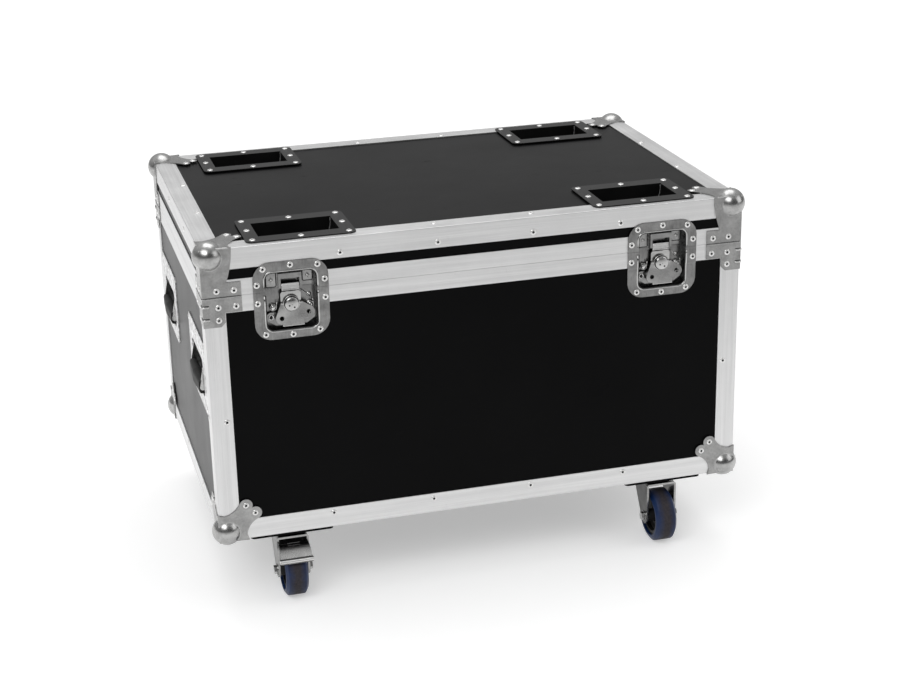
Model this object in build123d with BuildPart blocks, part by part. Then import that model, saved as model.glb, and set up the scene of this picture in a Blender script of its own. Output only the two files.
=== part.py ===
"""Lighting flight case on castors, with a hinged lid, twist latches and stacking dishes.

The origin is on the floor, under the middle of the case. X runs along the case,
the front with the latches faces -Y, and +Z is up.
"""

from build123d import *
import os

# Whole case, outside the aluminium edges
case_width = 786.0
case_depth = 520.0
case_height = 434.0
lid_height = 68.0

# General clearances
overrun = 20.0
seam = 0.15
fit_gap = 0.3
pin_clearance = 0.05

# Plywood panels and aluminium edges
panel_wall = 9.0
angle_leg = 30.0
angle_wall = 1.5
edge_radius = 1.0
rim_height = 23.5
rim_web = 2.0
rim_inner_leg = 20.0
groove_inset = 3.0
groove_width = 5.5
groove_depth = 8.0
tongue_inset = 4.0
tongue_width = 3.5
tongue_height = 4.0

# Ball corners and corner braces
corner_wall = 1.5
corner_bend = 1.2
ball_radius = 21.5
ball_inset = 12.0
flange_reach = 42.0
ear_reach = 39.0
ear_width = 8.0
neck_reach = 43.2
neck_width = 19.5
lobe_near = 39.5
lobe_far = 52.3
lobe_radius = 9.5
clover_side_share = 0.43
clover_drop_share = 0.90
lid_lobe_near = 45.5
lid_lobe_far = 57.5
lid_lobe_radius = 7.0
under_lobe = 33.0
cheek_width = 42.6
cheek_waist = 33.0
cheek_middle = 38.9
cheek_bend = 39.0
wing_width = 53.0
split_gap = 0.8
lid_wing_height = 20.0
base_wing_height = 22.5
brace_width = 29.0
brace_height = 42.5
brace_chamfer = 6.0

# Stacking dishes in the lid
dish_flange_length = 154.0
dish_flange_width = 112.0
dish_flange_corner = 10.0
dish_length = 114.0
dish_width = 64.0
dish_depth = 32.0
dish_curve = 24.0
dish_wall = 1.5

# Recessed handles in the side walls
handle_flange_length = 156.0
handle_flange_height = 108.0
handle_flange_corner = 10.0
handle_pan_length = 105.0
handle_pan_height = 57.0
handle_pan_corner = 9.0
handle_pan_drop = 6.5
handle_pan_depth = 16.0
handle_wall = 1.5
handle_drop = 131.0
bail_drop = 32.0
bail_lead = 6.5
bail_pivot_rise = 12.0
bail_pivot_depth = 5.0
bail_pin_radius = 3.0
bail_pin_length = 4.0
bail_half = 50.0
bail_strap = 3.0
bail_strap_width = 8.0
bail_rod_radius = 3.5
grip_length = 92.0
grip_thickness = 15.0
grip_height = 25.0
grip_corner = 7.0
grip_taper = 3.0

# Recessed twist latches
latch_inset = 121.5
latch_drop = 14.0
latch_flange_width = 105.0
latch_flange_height = 112.0
latch_flange_corner = 24.0
latch_wall = 1.5
pan_width = 72.5
pan_height = 84.5
pan_corner = 10.0
pan_drop = 1.0
pan_depth = 14.0
joggle_run = 3.5
spindle_drop = 6.5
knob_radius = 11.0
knob_back = 5.2
knob_step = 2.0
knob_groove = 1.0
knob_groove_radius = 9.0
knob_cap_radius = 10.0
knob_cap_height = 3.8
knob_round = 2.4
knob_crown = 0.8
neck_radius = 5.0
shaft_radius = 4.0
cam_radius = 9.0
cam_front = 8.3
cam_back = 13.2
retainer_radius = 7.0
retainer_wall = 1.5
wing_plate = 1.5
wing_axis_depth = 3.75
wing_tilt = 8.0
wing_notch = 11.6
wing_shoulder = 14.5
wing_top = 1.5
wing_right_lobe = 23.4
wing_right_drop = 14.2
wing_left_lobe = 14.6
wing_left_drop = 20.6
wing_lobe_radius = 8.4
wing_hole_radius = 3.2
tab_half = 15.2
tab_shift = 1.0
tab_reach = 31.8
wing_pin_radius = 1.2
wing_pin_reach = 3.2
hook_plate = 1.5
hook_depth = 6.2
hook_lip_depth = 5.1
hook_half = 14.2
hook_lip_half = 12.2
hook_top = 28.5
hook_bottom = 18.0
hook_corner = 4.0
hook_taper = 2.0
hook_joggle_start = 16.0
hook_joggle_end = 18.5
hook_travel = 7.0
keeper_plate = 1.5
keeper_front = 4.3
keeper_half = 16.2
keeper_window_half = 13.0
keeper_bottom = 15.7
keeper_window_top = 29.6
keeper_top = 36.6
keeper_bar_front = 8.0
keeper_bar_wall = 2.0
keeper_bar_top = 20.0
keeper_foot = 15.0
padlock_front = 9.0
padlock_plate = 1.5
padlock_half = 28.0
padlock_drop = 20.0
padlock_lobe = 7.0
padlock_bottom = 33.0
padlock_top = 14.5
padlock_notch = 15.0
padlock_hole_radius = 4.0
padlock_eye_radius = 8.0

# Rear hinges
hinge_inset = 153.0
hinge_length = 64.0
hinge_plate = 2.0
hinge_leaf_height = 22.0
knuckle_radius = 4.4
knuckle_offset = 4.8
knuckle_gap = 0.4
knuckle_count = 5
hinge_pin_radius = 2.0

# Castors and the boards that they are bolted to
castor_end_inset = 107.0
castor_side_inset = 67.0
castor_height = 102.0
castor_trail = 36.0
board_length = 121.0
board_width = 106.0
board_wall = 10.0
board_corner = 6.0
castor_plate_length = 100.0
castor_plate_width = 85.0
castor_plate_wall = 3.0
castor_plate_corner = 8.0
race_radius = 27.0
race_height = 2.5
kingpin_radius = 5.0
kingpin_nut_radius = 8.0
kingpin_nut_height = 5.0
fork_width = 47.0
fork_wall = 3.0
fork_bend = 4.0
fork_nose = 12.0
fork_tail = 38.0
fork_shoulder = 38.0
swivel_radius = 28.0
wheel_radius = 40.0
tyre_inner_radius = 31.0
tyre_width = 33.0
tyre_shoulder_height = 6.0
tyre_shoulder_width = 4.0
tyre_shoulder = 2.5
rim_half = 13.0
rim_inner_radius = 25.0
web_half = 4.0
hub_radius = 9.5
hub_width = 40.0
axle_radius = 4.0
bolt_head_radius = 6.5
bolt_head_height = 5.0

# Brake pedals on two of the castors
pedal_wall = 1.6
pedal_pivot_lead = 2.0
pedal_pivot_rise = 47.5
pedal_pin_radius = 2.0
pedal_ear_radius = 4.3
pedal_half = 19.7
pedal_lip_half = 25.0
pedal_shoulder_half = 21.0
pedal_heel_lead = 3.0
pedal_heel_rise = 49.5
pedal_bend_lead = 13.0
pedal_bend_rise = 47.5
pedal_toe_lead = 35.5
pedal_toe_rise = 33.0
pedal_lip_lead = 39.6
pedal_lip_rise = 25.5

# Places worked out from the sizes above
case_bottom = castor_height + board_wall
case_top = case_bottom + case_height
split_z = case_top - lid_height
half_width = case_width / 2
half_depth = case_depth / 2
panel_x = half_width - angle_wall
panel_y = half_depth - angle_wall
wall_bottom = case_bottom + angle_wall
ceiling = case_top - angle_wall - panel_wall
base_rim_bottom = split_z - rim_height
base_panel_top = split_z - groove_depth - rim_web
lid_panel_bottom = split_z + seam + rim_web
latch_z = split_z - latch_drop
spindle_z = latch_z - spindle_drop
cam_offset = hook_travel / 2
latch_x = half_width - latch_inset
hinge_x = half_width - hinge_inset
castor_x = half_width - castor_end_inset
castor_y = half_depth - castor_side_inset
dish_x = castor_x - castor_trail
handle_y = half_depth - angle_leg - handle_flange_length / 2
handle_z = split_z - handle_drop
handle_pan_z = handle_z - handle_pan_drop
handle_pivot_z = handle_z + bail_pivot_rise
hinge_y = half_depth + knuckle_offset
axle_z = wheel_radius

front_face = Plane(origin=(0, -half_depth, 0), x_dir=(1, 0, 0), z_dir=(0, -1, 0))
back_face = Plane(origin=(0, half_depth, 0), x_dir=(-1, 0, 0), z_dir=(0, 1, 0))
left_face = Plane(origin=(-half_width, 0, 0), x_dir=(0, -1, 0), z_dir=(-1, 0, 0))
right_face = Plane(origin=(half_width, 0, 0), x_dir=(0, 1, 0), z_dir=(1, 0, 0))
top_face = Plane.XY.offset(case_top)
latch_places = [(-latch_x, latch_z), (latch_x, latch_z)]
latch_pan_places = [(x, z - pan_drop) for x, z in latch_places]
handle_places = [(-handle_y, handle_z), (handle_y, handle_z)]
handle_pan_places = [(-handle_y, handle_pan_z), (handle_y, handle_pan_z)]
quarter_signs = [(-1, -1), (1, -1), (-1, 1), (1, 1)]

os.makedirs("parts", exist_ok=True)


def save(piece, name):
    """Labels a finished piece and writes it as its own STEP file."""
    piece.part.label = name
    export_step(piece.part, "parts/" + name + ".step")


# Flat panels

def wall_panel(face, width, low, high, holes=(), hole_size=(), hole_corner=0):
    """An upright plywood panel behind an outer face, with rounded cut-outs."""
    with BuildPart() as panel:
        with BuildSketch(face.offset(-angle_wall)):
            with Locations((0, (low + high) / 2)):
                Rectangle(width, high - low)
            if holes:
                with Locations(*holes):
                    RectangleRounded(*hole_size, hole_corner, mode=Mode.SUBTRACT)
        extrude(amount=-panel_wall)
    return panel


latch_hole = (pan_width + 2 * latch_wall + 2 * fit_gap, pan_height + 2 * latch_wall + 2 * fit_gap)
latch_hole_corner = pan_corner + latch_wall
handle_hole = (
    handle_pan_length + 2 * handle_wall + 2 * fit_gap,
    handle_pan_height + 2 * handle_wall + 2 * fit_gap,
)
handle_hole_corner = handle_pan_corner + handle_wall
side_panel_width = 2 * (panel_y - panel_wall)

with BuildPart() as base_bottom_panel:
    with BuildSketch(Plane.XY.offset(wall_bottom)):
        Rectangle(2 * (panel_x - panel_wall), 2 * (panel_y - panel_wall))
    extrude(amount=panel_wall)
save(base_bottom_panel, "base_bottom_panel")

base_front_panel = wall_panel(
    front_face,
    2 * panel_x,
    wall_bottom,
    base_panel_top,
    latch_pan_places,
    latch_hole,
    latch_hole_corner,
)
save(base_front_panel, "base_front_panel")
base_back_panel = wall_panel(back_face, 2 * panel_x, wall_bottom, base_panel_top)
save(base_back_panel, "base_back_panel")
for face, name in ((left_face, "base_left_panel"), (right_face, "base_right_panel")):
    side = wall_panel(
        face,
        side_panel_width,
        wall_bottom,
        base_panel_top,
        handle_pan_places,
        handle_hole,
        handle_hole_corner,
    )
    save(side, name)

lid_front_panel = wall_panel(
    front_face, 2 * panel_x, lid_panel_bottom, ceiling, latch_pan_places, latch_hole, latch_hole_corner
)
save(lid_front_panel, "lid_front_panel")
lid_back_panel = wall_panel(back_face, 2 * panel_x, lid_panel_bottom, ceiling)
save(lid_back_panel, "lid_back_panel")
for face, name in ((left_face, "lid_left_panel"), (right_face, "lid_right_panel")):
    side = wall_panel(face, side_panel_width, lid_panel_bottom, ceiling)
    save(side, name)

with BuildPart() as lid_top_panel:
    with BuildSketch(Plane.XY.offset(ceiling)):
        Rectangle(2 * panel_x, 2 * panel_y)
        with GridLocations(2 * dish_x, 2 * castor_y, 2, 2):
            Rectangle(
                dish_length + 2 * dish_wall + 2 * fit_gap,
                dish_width + 2 * dish_wall + 2 * fit_gap,
                mode=Mode.SUBTRACT,
            )
    extrude(amount=panel_wall)
save(lid_top_panel, "lid_top_panel")


# Aluminium edges and rim profiles

def ring(low, outer_inset, inner_inset):
    """A rectangular ring in plan at height low, inset from the outer faces."""
    with BuildSketch(Plane.XY.offset(low)) as section:
        if outer_inset:
            Rectangle(case_width - 2 * outer_inset, case_depth - 2 * outer_inset)
        else:
            RectangleRounded(case_width, case_depth, edge_radius)
        Rectangle(case_width - 2 * inner_inset, case_depth - 2 * inner_inset, mode=Mode.SUBTRACT)
    return section.sketch


def mitre_slits(low):
    """Four thin diagonal slits in plan at height low, which part a ring into mitred bars."""
    with BuildSketch(Plane.XY.offset(low)) as slits:
        for x_sign, y_sign in quarter_signs:
            turn = x_sign * y_sign * 45
            with Locations(Location((x_sign * half_width, y_sign * half_depth, 0), (0, 0, turn))):
                Rectangle(4 * angle_leg, seam)
    return slits.sketch


def on_outside(edge):
    """True for an edge that lies on one of the four outer side faces."""
    middle = edge.center()
    beyond_x = abs(middle.X) > half_width - angle_wall / 2
    beyond_y = abs(middle.Y) > half_depth - angle_wall / 2
    return beyond_x or beyond_y


with BuildPart() as base_edge_angles:
    extrude(ring(case_bottom, 0, angle_wall), amount=angle_leg)
    extrude(ring(case_bottom, 0, angle_leg), amount=angle_wall)
    low_edges = base_edge_angles.edges().group_by(Axis.Z)[0]
    fillet(low_edges.filter_by(on_outside), edge_radius)
    extrude(mitre_slits(case_bottom), amount=angle_leg, mode=Mode.SUBTRACT)
    with BuildSketch(Plane.XY.offset(case_bottom + angle_leg + seam)):
        RectangleRounded(case_width, case_depth, edge_radius)
        Rectangle(case_width - 2 * angle_wall, case_depth - 2 * angle_wall, mode=Mode.SUBTRACT)
        Rectangle(case_width - 2 * angle_leg, case_depth, mode=Mode.SUBTRACT)
        Rectangle(case_width, case_depth - 2 * angle_leg, mode=Mode.SUBTRACT)
    extrude(amount=base_rim_bottom - case_bottom - angle_leg - 2 * seam)
save(base_edge_angles, "base_edge_angles")

with BuildPart() as lid_edge_angles:
    extrude(ring(case_top - angle_leg, 0, angle_wall), amount=angle_leg)
    extrude(ring(case_top - angle_wall, 0, angle_leg), amount=angle_wall)
    high_edges = lid_edge_angles.edges().group_by(Axis.Z)[-1]
    fillet(high_edges.filter_by(on_outside), edge_radius)
    extrude(mitre_slits(case_top - angle_leg), amount=angle_leg, mode=Mode.SUBTRACT)
save(lid_edge_angles, "lid_edge_angles")


def latch_hole_sketch():
    """The cut-outs for both latch pans, on the front face."""
    with BuildSketch(front_face) as holes:
        with Locations(*latch_pan_places):
            RectangleRounded(*latch_hole, latch_hole_corner)
    return holes.sketch


rim_seat = panel_wall + 2 * angle_wall
groove_floor = split_z - groove_depth

with BuildPart() as base_rim_profile:
    extrude(ring(base_rim_bottom, 0, angle_wall), amount=rim_height - groove_depth)
    extrude(ring(base_panel_top, 0, rim_seat), amount=rim_web)
    inner_leg = ring(base_panel_top - rim_inner_leg, panel_wall + angle_wall, rim_seat)
    extrude(inner_leg, amount=rim_inner_leg)
    extrude(ring(groove_floor, 0, groove_inset), amount=groove_depth - seam)
    extrude(ring(groove_floor, groove_inset + groove_width, rim_seat), amount=groove_depth - seam)
    extrude(mitre_slits(base_panel_top - rim_inner_leg), amount=2 * rim_height, mode=Mode.SUBTRACT)
    extrude(latch_hole_sketch(), amount=-2 * rim_seat, mode=Mode.SUBTRACT)
save(base_rim_profile, "base_rim_profile")

with BuildPart() as lid_rim_profile:
    extrude(ring(split_z + seam, 0, angle_wall), amount=rim_height - seam)
    extrude(ring(split_z + seam, 0, rim_seat), amount=rim_web)
    extrude(ring(lid_panel_bottom, panel_wall + angle_wall, rim_seat), amount=rim_inner_leg)
    tongue = ring(split_z - tongue_height, tongue_inset, tongue_inset + tongue_width)
    extrude(tongue, amount=tongue_height + seam)
    extrude(mitre_slits(split_z - tongue_height), amount=2 * rim_height, mode=Mode.SUBTRACT)
    extrude(latch_hole_sketch(), amount=-2 * rim_seat, mode=Mode.SUBTRACT)
save(lid_rim_profile, "lid_rim_profile")


# Ball corners and corner braces, made at one corner and mirrored to the others

def corner_planes(height, up):
    """Planes on the front, side and end faces of the front left corner, along its edges."""
    corner = (-half_width, -half_depth, height)
    front = Plane(origin=corner, x_dir=(1, 0, 0), z_dir=(0, -up, 0))
    side = Plane(origin=corner, x_dir=(0, 1, 0), z_dir=(up, 0, 0))
    end = Plane(origin=corner, x_dir=(1, 0, 0), z_dir=(0, 0, 1))
    return front, side, end


def clover(plane, near, far, lobe):
    """A corner flange with an ear on each edge, a hollow neck and two riveted lobes."""
    wall = corner_wall
    reach = far + clover_side_share * lobe
    drop = near - clover_drop_share * lobe
    with BuildSketch(plane) as flange:
        with BuildLine():
            Polyline((ear_width, ear_reach), (-wall, flange_reach), (-wall, -wall))
            Polyline((-wall, -wall), (flange_reach, -wall), (ear_reach, ear_width))
            ThreePointArc((ear_reach, ear_width), (neck_reach, neck_width), (reach, drop))
            Polyline((reach, drop), (far, near), (near, far), (drop, reach))
            ThreePointArc((drop, reach), (neck_width, neck_reach), (ear_width, ear_reach))
        make_face()
        with Locations((near, far), (far, near)):
            Circle(lobe)
    return flange.sketch


def corner_ball(height, up):
    """The pressed ball of the front left corner, outside the case's own faces."""
    with BuildPart() as ball:
        with Locations((-half_width + ball_inset, -half_depth + ball_inset, height + up * ball_inset)):
            Sphere(ball_radius)
        with BuildSketch(Plane.XY.offset(height)):
            with Locations((-half_width + ball_radius, -half_depth + ball_radius)):
                Rectangle(2 * ball_radius, 2 * ball_radius)
        extrude(amount=up * 2 * ball_radius, mode=Mode.SUBTRACT)
    return ball.part


def outer_bends(piece):
    """The edges where the sheet of the front left corner is bent from one face to the next."""
    box = piece.part.bounding_box()
    front_edges = piece.edges().filter_by_position(Axis.Y, box.min.Y - seam, box.min.Y + seam)
    side_edges = piece.edges().filter_by_position(Axis.X, box.min.X - seam, box.min.X + seam)
    return [edge for edge in front_edges if edge in side_edges]


with BuildPart() as base_ball_corners:
    front, side, end = corner_planes(case_bottom, 1)
    extrude(clover(front, lobe_near, lobe_far, lobe_radius), amount=corner_wall)
    extrude(clover(side, lobe_near, lobe_far, lobe_radius), amount=-corner_wall)
    with BuildSketch(end):
        Polygon(
            (-corner_wall, -corner_wall),
            (flange_reach, -corner_wall),
            (ear_reach, ear_width),
            (under_lobe, under_lobe),
            (ear_width, ear_reach),
            (-corner_wall, flange_reach),
            align=None,
        )
    extrude(amount=-corner_wall)
    fillet(outer_bends(base_ball_corners), corner_bend)
    add(corner_ball(case_bottom, 1))
    mirror(about=Plane.YZ)
    mirror(about=Plane.XZ)
save(base_ball_corners, "base_ball_corners")


def lid_cheek(plane, rise):
    """The side of a lid corner: waisted below the ball, with a riveted wing at the split."""
    with BuildSketch(plane) as cheek:
        with BuildLine():
            Polyline(
                (cheek_waist, lid_wing_height),
                (wing_width, lid_wing_height),
                (wing_width, rise),
                (-corner_wall, rise),
                (-corner_wall, lid_height + corner_wall),
                (cheek_width, lid_height + corner_wall),
                (cheek_width, lid_height),
            )
            ThreePointArc(
                (cheek_width, lid_height),
                (cheek_middle, cheek_bend),
                (cheek_waist, lid_wing_height),
            )
        make_face()
    return cheek.sketch


with BuildPart() as lid_ball_corners:
    front, side, end = corner_planes(split_z, 1)
    top = corner_planes(case_top, 1)[2]
    extrude(lid_cheek(front, split_gap), amount=corner_wall)
    extrude(lid_cheek(side, split_gap), amount=-corner_wall)
    top_flange = clover(top, lid_lobe_near, lid_lobe_far, lid_lobe_radius)
    extrude(top_flange, amount=corner_wall)
    fillet(outer_bends(lid_ball_corners), corner_bend)
    add(corner_ball(case_top, -1))
    mirror(about=Plane.YZ)
    mirror(about=Plane.XZ)
save(lid_ball_corners, "lid_ball_corners")


def base_brace(plane):
    """One side of the brace that ties the base's corner below the split."""
    with BuildSketch(plane) as brace:
        Polygon(
            (-corner_wall, -seam),
            (wing_width, -seam),
            (wing_width, -base_wing_height),
            (brace_width, -base_wing_height),
            (brace_width, brace_chamfer - brace_height),
            (brace_width - brace_chamfer, -brace_height),
            (-corner_wall, -brace_height),
            align=None,
        )
    return brace.sketch


with BuildPart() as base_corner_braces:
    front, side, end = corner_planes(split_z, 1)
    extrude(base_brace(front), amount=corner_wall)
    extrude(base_brace(side), amount=-corner_wall)
    fillet(outer_bends(base_corner_braces), corner_bend)
    mirror(about=Plane.YZ)
    mirror(about=Plane.XZ)
save(base_corner_braces, "base_corner_braces")


# Stacking dishes, which take the castors of a second case

with BuildPart() as stacking_dishes:
    with BuildSketch(top_face):
        with GridLocations(2 * dish_x, 2 * castor_y, 2, 2):
            RectangleRounded(dish_flange_length, dish_flange_width, dish_flange_corner)
    extrude(amount=dish_wall)
    for row in (-castor_y, castor_y):
        for wall, half in ((dish_wall, dish_width / 2 + dish_wall), (0, dish_width / 2)):
            with BuildSketch(Plane.XZ.offset(-row - half)) as trough:
                with Locations(*[(x, case_top) for x in (-dish_x, dish_x)]):
                    Rectangle(
                        dish_length + 2 * wall,
                        dish_depth + wall,
                        align=(Align.CENTER, Align.MAX),
                    )
                fillet(trough.vertices().group_by(Axis.Y)[0], dish_curve + wall)
            extrude(amount=2 * half, mode=Mode.ADD if wall else Mode.SUBTRACT)
    with BuildSketch(top_face):
        with GridLocations(2 * dish_x, 2 * castor_y, 2, 2):
            Rectangle(dish_length, dish_width)
    extrude(amount=dish_wall, mode=Mode.SUBTRACT)
save(stacking_dishes, "stacking_dishes")


# Recessed handles

with BuildPart() as handle_dishes:
    for face in (left_face, right_face):
        with BuildSketch(face.offset(-angle_wall)):
            with Locations(*handle_places):
                RectangleRounded(handle_flange_length, handle_flange_height, handle_flange_corner)
        extrude(amount=handle_wall)
        with BuildSketch(face.offset(-angle_wall)):
            with Locations(*handle_pan_places):
                RectangleRounded(
                    handle_pan_length + 2 * handle_wall,
                    handle_pan_height + 2 * handle_wall,
                    handle_pan_corner + handle_wall,
                )
        extrude(amount=angle_wall - handle_pan_depth - handle_wall)
    for face in (left_face, right_face):
        with BuildSketch(face):
            with Locations(*handle_pan_places):
                RectangleRounded(handle_pan_length, handle_pan_height, handle_pan_corner)
        extrude(amount=-handle_pan_depth, mode=Mode.SUBTRACT)
    for face in (left_face, right_face):
        pivot_x = face.origin.X - face.z_dir.X * bail_pivot_depth
        with BuildSketch(Plane.XZ):
            with Locations((pivot_x, handle_pivot_z)):
                Circle(bail_pin_radius + pin_clearance)
        extrude(amount=handle_y + handle_flange_length / 2, both=True, mode=Mode.SUBTRACT)
save(handle_dishes, "handle_dishes")


def handle_bail(face, place):
    """A steel bail: two straps on pivot pins, with a rod between them for the grip."""
    seat = Plane(origin=face.from_local_coords((place, handle_pivot_z, -bail_pivot_depth)),
                 x_dir=face.x_dir, z_dir=face.z_dir)
    rod = (-bail_drop, bail_lead)
    with BuildPart() as bail:
        for turn in (-1, 1):
            across = Plane(origin=seat.from_local_coords((turn * bail_half, 0, 0)),
                           x_dir=(0, 0, 1), z_dir=seat.x_dir)
            outward = across.y_dir.dot(seat.z_dir)
            with BuildSketch(across):
                Circle(bail_strap_width / 2)
                with Locations((rod[0], outward * rod[1])):
                    Circle(bail_strap_width / 2)
                make_hull()
            extrude(amount=-turn * bail_strap)
            with BuildSketch(across):
                Circle(bail_pin_radius)
            extrude(amount=turn * bail_pin_length)
        middle = Plane(origin=seat.origin, x_dir=(0, 0, 1), z_dir=seat.x_dir)
        with BuildSketch(middle):
            with Locations((rod[0], middle.y_dir.dot(seat.z_dir) * rod[1])):
                Circle(bail_rod_radius)
        extrude(amount=bail_half - bail_strap / 2, both=True)
    return bail


def handle_grip(face, place):
    """A rubber grip, thickest in the middle, moulded round the bail's rod."""
    seat = Plane(
        origin=face.from_local_coords(
            (place, handle_pivot_z - bail_drop, bail_lead - bail_pivot_depth)
        ),
        x_dir=face.z_dir,
        z_dir=face.x_dir,
    )
    with BuildPart() as grip:
        with BuildSketch(seat):
            RectangleRounded(grip_thickness, grip_height, grip_corner)
        extrude(amount=grip_length / 2, both=True, taper=grip_taper)
        with BuildSketch(seat):
            Circle(bail_rod_radius + pin_clearance)
        extrude(amount=grip_length, both=True, mode=Mode.SUBTRACT)
    return grip


for face, side_name in ((left_face, "left"), (right_face, "right")):
    for place in (-handle_y, handle_y):
        row = "front" if face.from_local_coords((place, 0, 0)).Y < 0 else "rear"
        save(handle_bail(face, place), f"handle_bail_{side_name}_{row}")
        save(handle_grip(face, place), f"handle_grip_{side_name}_{row}")


# Recessed twist latches

def latch_pans():
    """Both latch dishes whole: a joggled sheet flange with a deep rounded pan."""
    front = -half_depth
    joggle = base_rim_bottom - seam
    high = latch_z + latch_flange_height
    low = latch_z - latch_flange_height
    with BuildPart() as pans:
        with BuildSketch(Plane.YZ.offset(-latch_x - latch_flange_width)):
            Polygon(
                (front, high),
                (front - latch_wall, high),
                (front - latch_wall, joggle),
                (front - latch_wall + angle_wall, joggle - joggle_run),
                (front - latch_wall + angle_wall, low),
                (front + angle_wall, low),
                (front + angle_wall, joggle - joggle_run),
                (front, joggle),
                align=None,
            )
        extrude(amount=2 * (latch_x + latch_flange_width))
        with BuildSketch(front_face):
            with Locations(*latch_places):
                RectangleRounded(latch_flange_width, latch_flange_height, latch_flange_corner)
        extrude(amount=overrun, both=True, mode=Mode.INTERSECT)
        with BuildSketch(front_face):
            with Locations(*latch_pan_places):
                RectangleRounded(
                    pan_width + 2 * latch_wall, pan_height + 2 * latch_wall, pan_corner + latch_wall
                )
        extrude(amount=-pan_depth - latch_wall)
        with BuildSketch(front_face.offset(overrun)):
            with Locations(*latch_pan_places):
                RectangleRounded(pan_width, pan_height, pan_corner)
        extrude(amount=-overrun - pan_depth, mode=Mode.SUBTRACT)
    return pans.part


spindle_places = [(x, spindle_z) for x in (-latch_x, latch_x)]

with BuildPart() as base_latch_dishes:
    add(latch_pans())
    split(bisect_by=Plane.XY.offset(split_z - seam), keep=Keep.BOTTOM)
    with BuildSketch(front_face):
        with Locations(*spindle_places):
            Circle(shaft_radius + pin_clearance)
    extrude(amount=-pan_depth - overrun, mode=Mode.SUBTRACT)
save(base_latch_dishes, "base_latch_dishes")

with BuildPart() as lid_latch_dishes:
    add(latch_pans())
    split(bisect_by=Plane.XY.offset(split_z + seam), keep=Keep.TOP)
save(lid_latch_dishes, "lid_latch_dishes")


def depth_plane(depth):
    """A plane parallel to the front face, this far inside it."""
    return front_face.offset(-depth)


with BuildPart() as latch_keepers:
    floor = pan_depth - half_depth
    foot = floor - keeper_plate
    crown = keeper_front - half_depth
    for x in (-latch_x, latch_x):
        outer = keeper_half
        inner = keeper_half - keeper_plate
        reach = keeper_half + keeper_foot
        with BuildSketch(Plane.XY.offset(latch_z + keeper_bottom)):
            Polygon(
                (x - reach, floor),
                (x - reach, foot),
                (x - outer, foot),
                (x - outer, crown),
                (x + outer, crown),
                (x + outer, foot),
                (x + reach, foot),
                (x + reach, floor),
                (x + inner, floor),
                (x + inner, crown + keeper_plate),
                (x - inner, crown + keeper_plate),
                (x - inner, floor),
                align=None,
            )
        extrude(amount=keeper_top - keeper_bottom)
        with BuildSketch(Plane.XY.offset(latch_z + keeper_bottom)):
            with Locations((x, crown)):
                Rectangle(2 * keeper_window_half, 2 * keeper_plate)
        extrude(amount=keeper_window_top - keeper_bottom, mode=Mode.SUBTRACT)
        with BuildSketch(Plane.XY.offset(latch_z + keeper_bottom)):
            with Locations((x, keeper_bar_front + keeper_bar_wall / 2 - half_depth)):
                Rectangle(2 * inner, keeper_bar_wall)
        extrude(amount=keeper_bar_top - keeper_bottom)
save(latch_keepers, "latch_keepers")

wing_lobes = [(wing_right_lobe, -wing_right_drop), (-wing_left_lobe, -wing_left_drop)]

with BuildPart() as latch_padlock_plates:
    for x in (-latch_x, latch_x):
        lobes = [(x + side * padlock_half, spindle_z - padlock_drop) for side in (-1, 1)]
        eyes = [
            (x + u, spindle_z + Vector(0, v, 0).rotate(Axis.X, wing_tilt).Y) for u, v in wing_lobes
        ]
        foot_width = 2 * (padlock_half - padlock_lobe)
        with BuildSketch(depth_plane(padlock_front)):
            with Locations(*lobes):
                Circle(padlock_lobe)
            with Locations((x, spindle_z - padlock_bottom)):
                Rectangle(foot_width, padlock_plate, align=(Align.CENTER, Align.MIN))
            make_hull()
            with Locations(*eyes):
                Circle(padlock_eye_radius)
            with Locations((x, spindle_z - padlock_top + padlock_notch)):
                Rectangle(2 * padlock_notch, 2 * padlock_notch, mode=Mode.SUBTRACT)
            with Locations(*eyes):
                Circle(padlock_hole_radius, mode=Mode.SUBTRACT)
        extrude(amount=-padlock_plate)
        with BuildSketch(depth_plane(padlock_front)):
            with Locations((x, spindle_z - padlock_bottom)):
                Rectangle(foot_width, padlock_plate, align=(Align.CENTER, Align.MIN))
        extrude(amount=padlock_front - pan_depth)
save(latch_padlock_plates, "latch_padlock_plates")


def latch_hook(x):
    """The hook plate: joggled forwards to its lip, with a slot for the spindle.

    Its lower corners are cut off, so that they leave the padlock holes free.
    """
    front = -half_depth
    z = spindle_z
    with BuildPart() as hook:
        with BuildSketch(Plane.YZ.offset(x - hook_half)):
            Polygon(
                (front + hook_depth, z - hook_bottom),
                (front + hook_depth, z + hook_joggle_start),
                (front + hook_lip_depth, z + hook_joggle_end),
                (front + hook_lip_depth, z + hook_top),
                (front + hook_lip_depth + hook_plate, z + hook_top),
                (front + hook_lip_depth + hook_plate, z + hook_joggle_end),
                (front + hook_depth + hook_plate, z + hook_joggle_start),
                (front + hook_depth + hook_plate, z - hook_bottom),
                align=None,
            )
        extrude(amount=2 * hook_half)
        with BuildSketch(front_face):
            Polygon(
                (x - hook_half, z - hook_bottom + hook_corner),
                (x - hook_half + hook_corner, z - hook_bottom),
                (x + hook_half - hook_corner, z - hook_bottom),
                (x + hook_half, z - hook_bottom + hook_corner),
                (x + hook_half, z + hook_joggle_start - hook_taper),
                (x + hook_lip_half, z + hook_joggle_start),
                (x + hook_lip_half, z + hook_top),
                (x - hook_lip_half, z + hook_top),
                (x - hook_lip_half, z + hook_joggle_start),
                (x - hook_half, z + hook_joggle_start - hook_taper),
                align=None,
            )
        extrude(amount=-pan_depth, mode=Mode.INTERSECT)
        with BuildSketch(front_face):
            with Locations((x, z - hook_travel / 2)):
                SlotCenterToCenter(hook_travel, 2 * (neck_radius + fit_gap), rotation=90)
        extrude(amount=-pan_depth, mode=Mode.SUBTRACT)
    return hook


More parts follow.
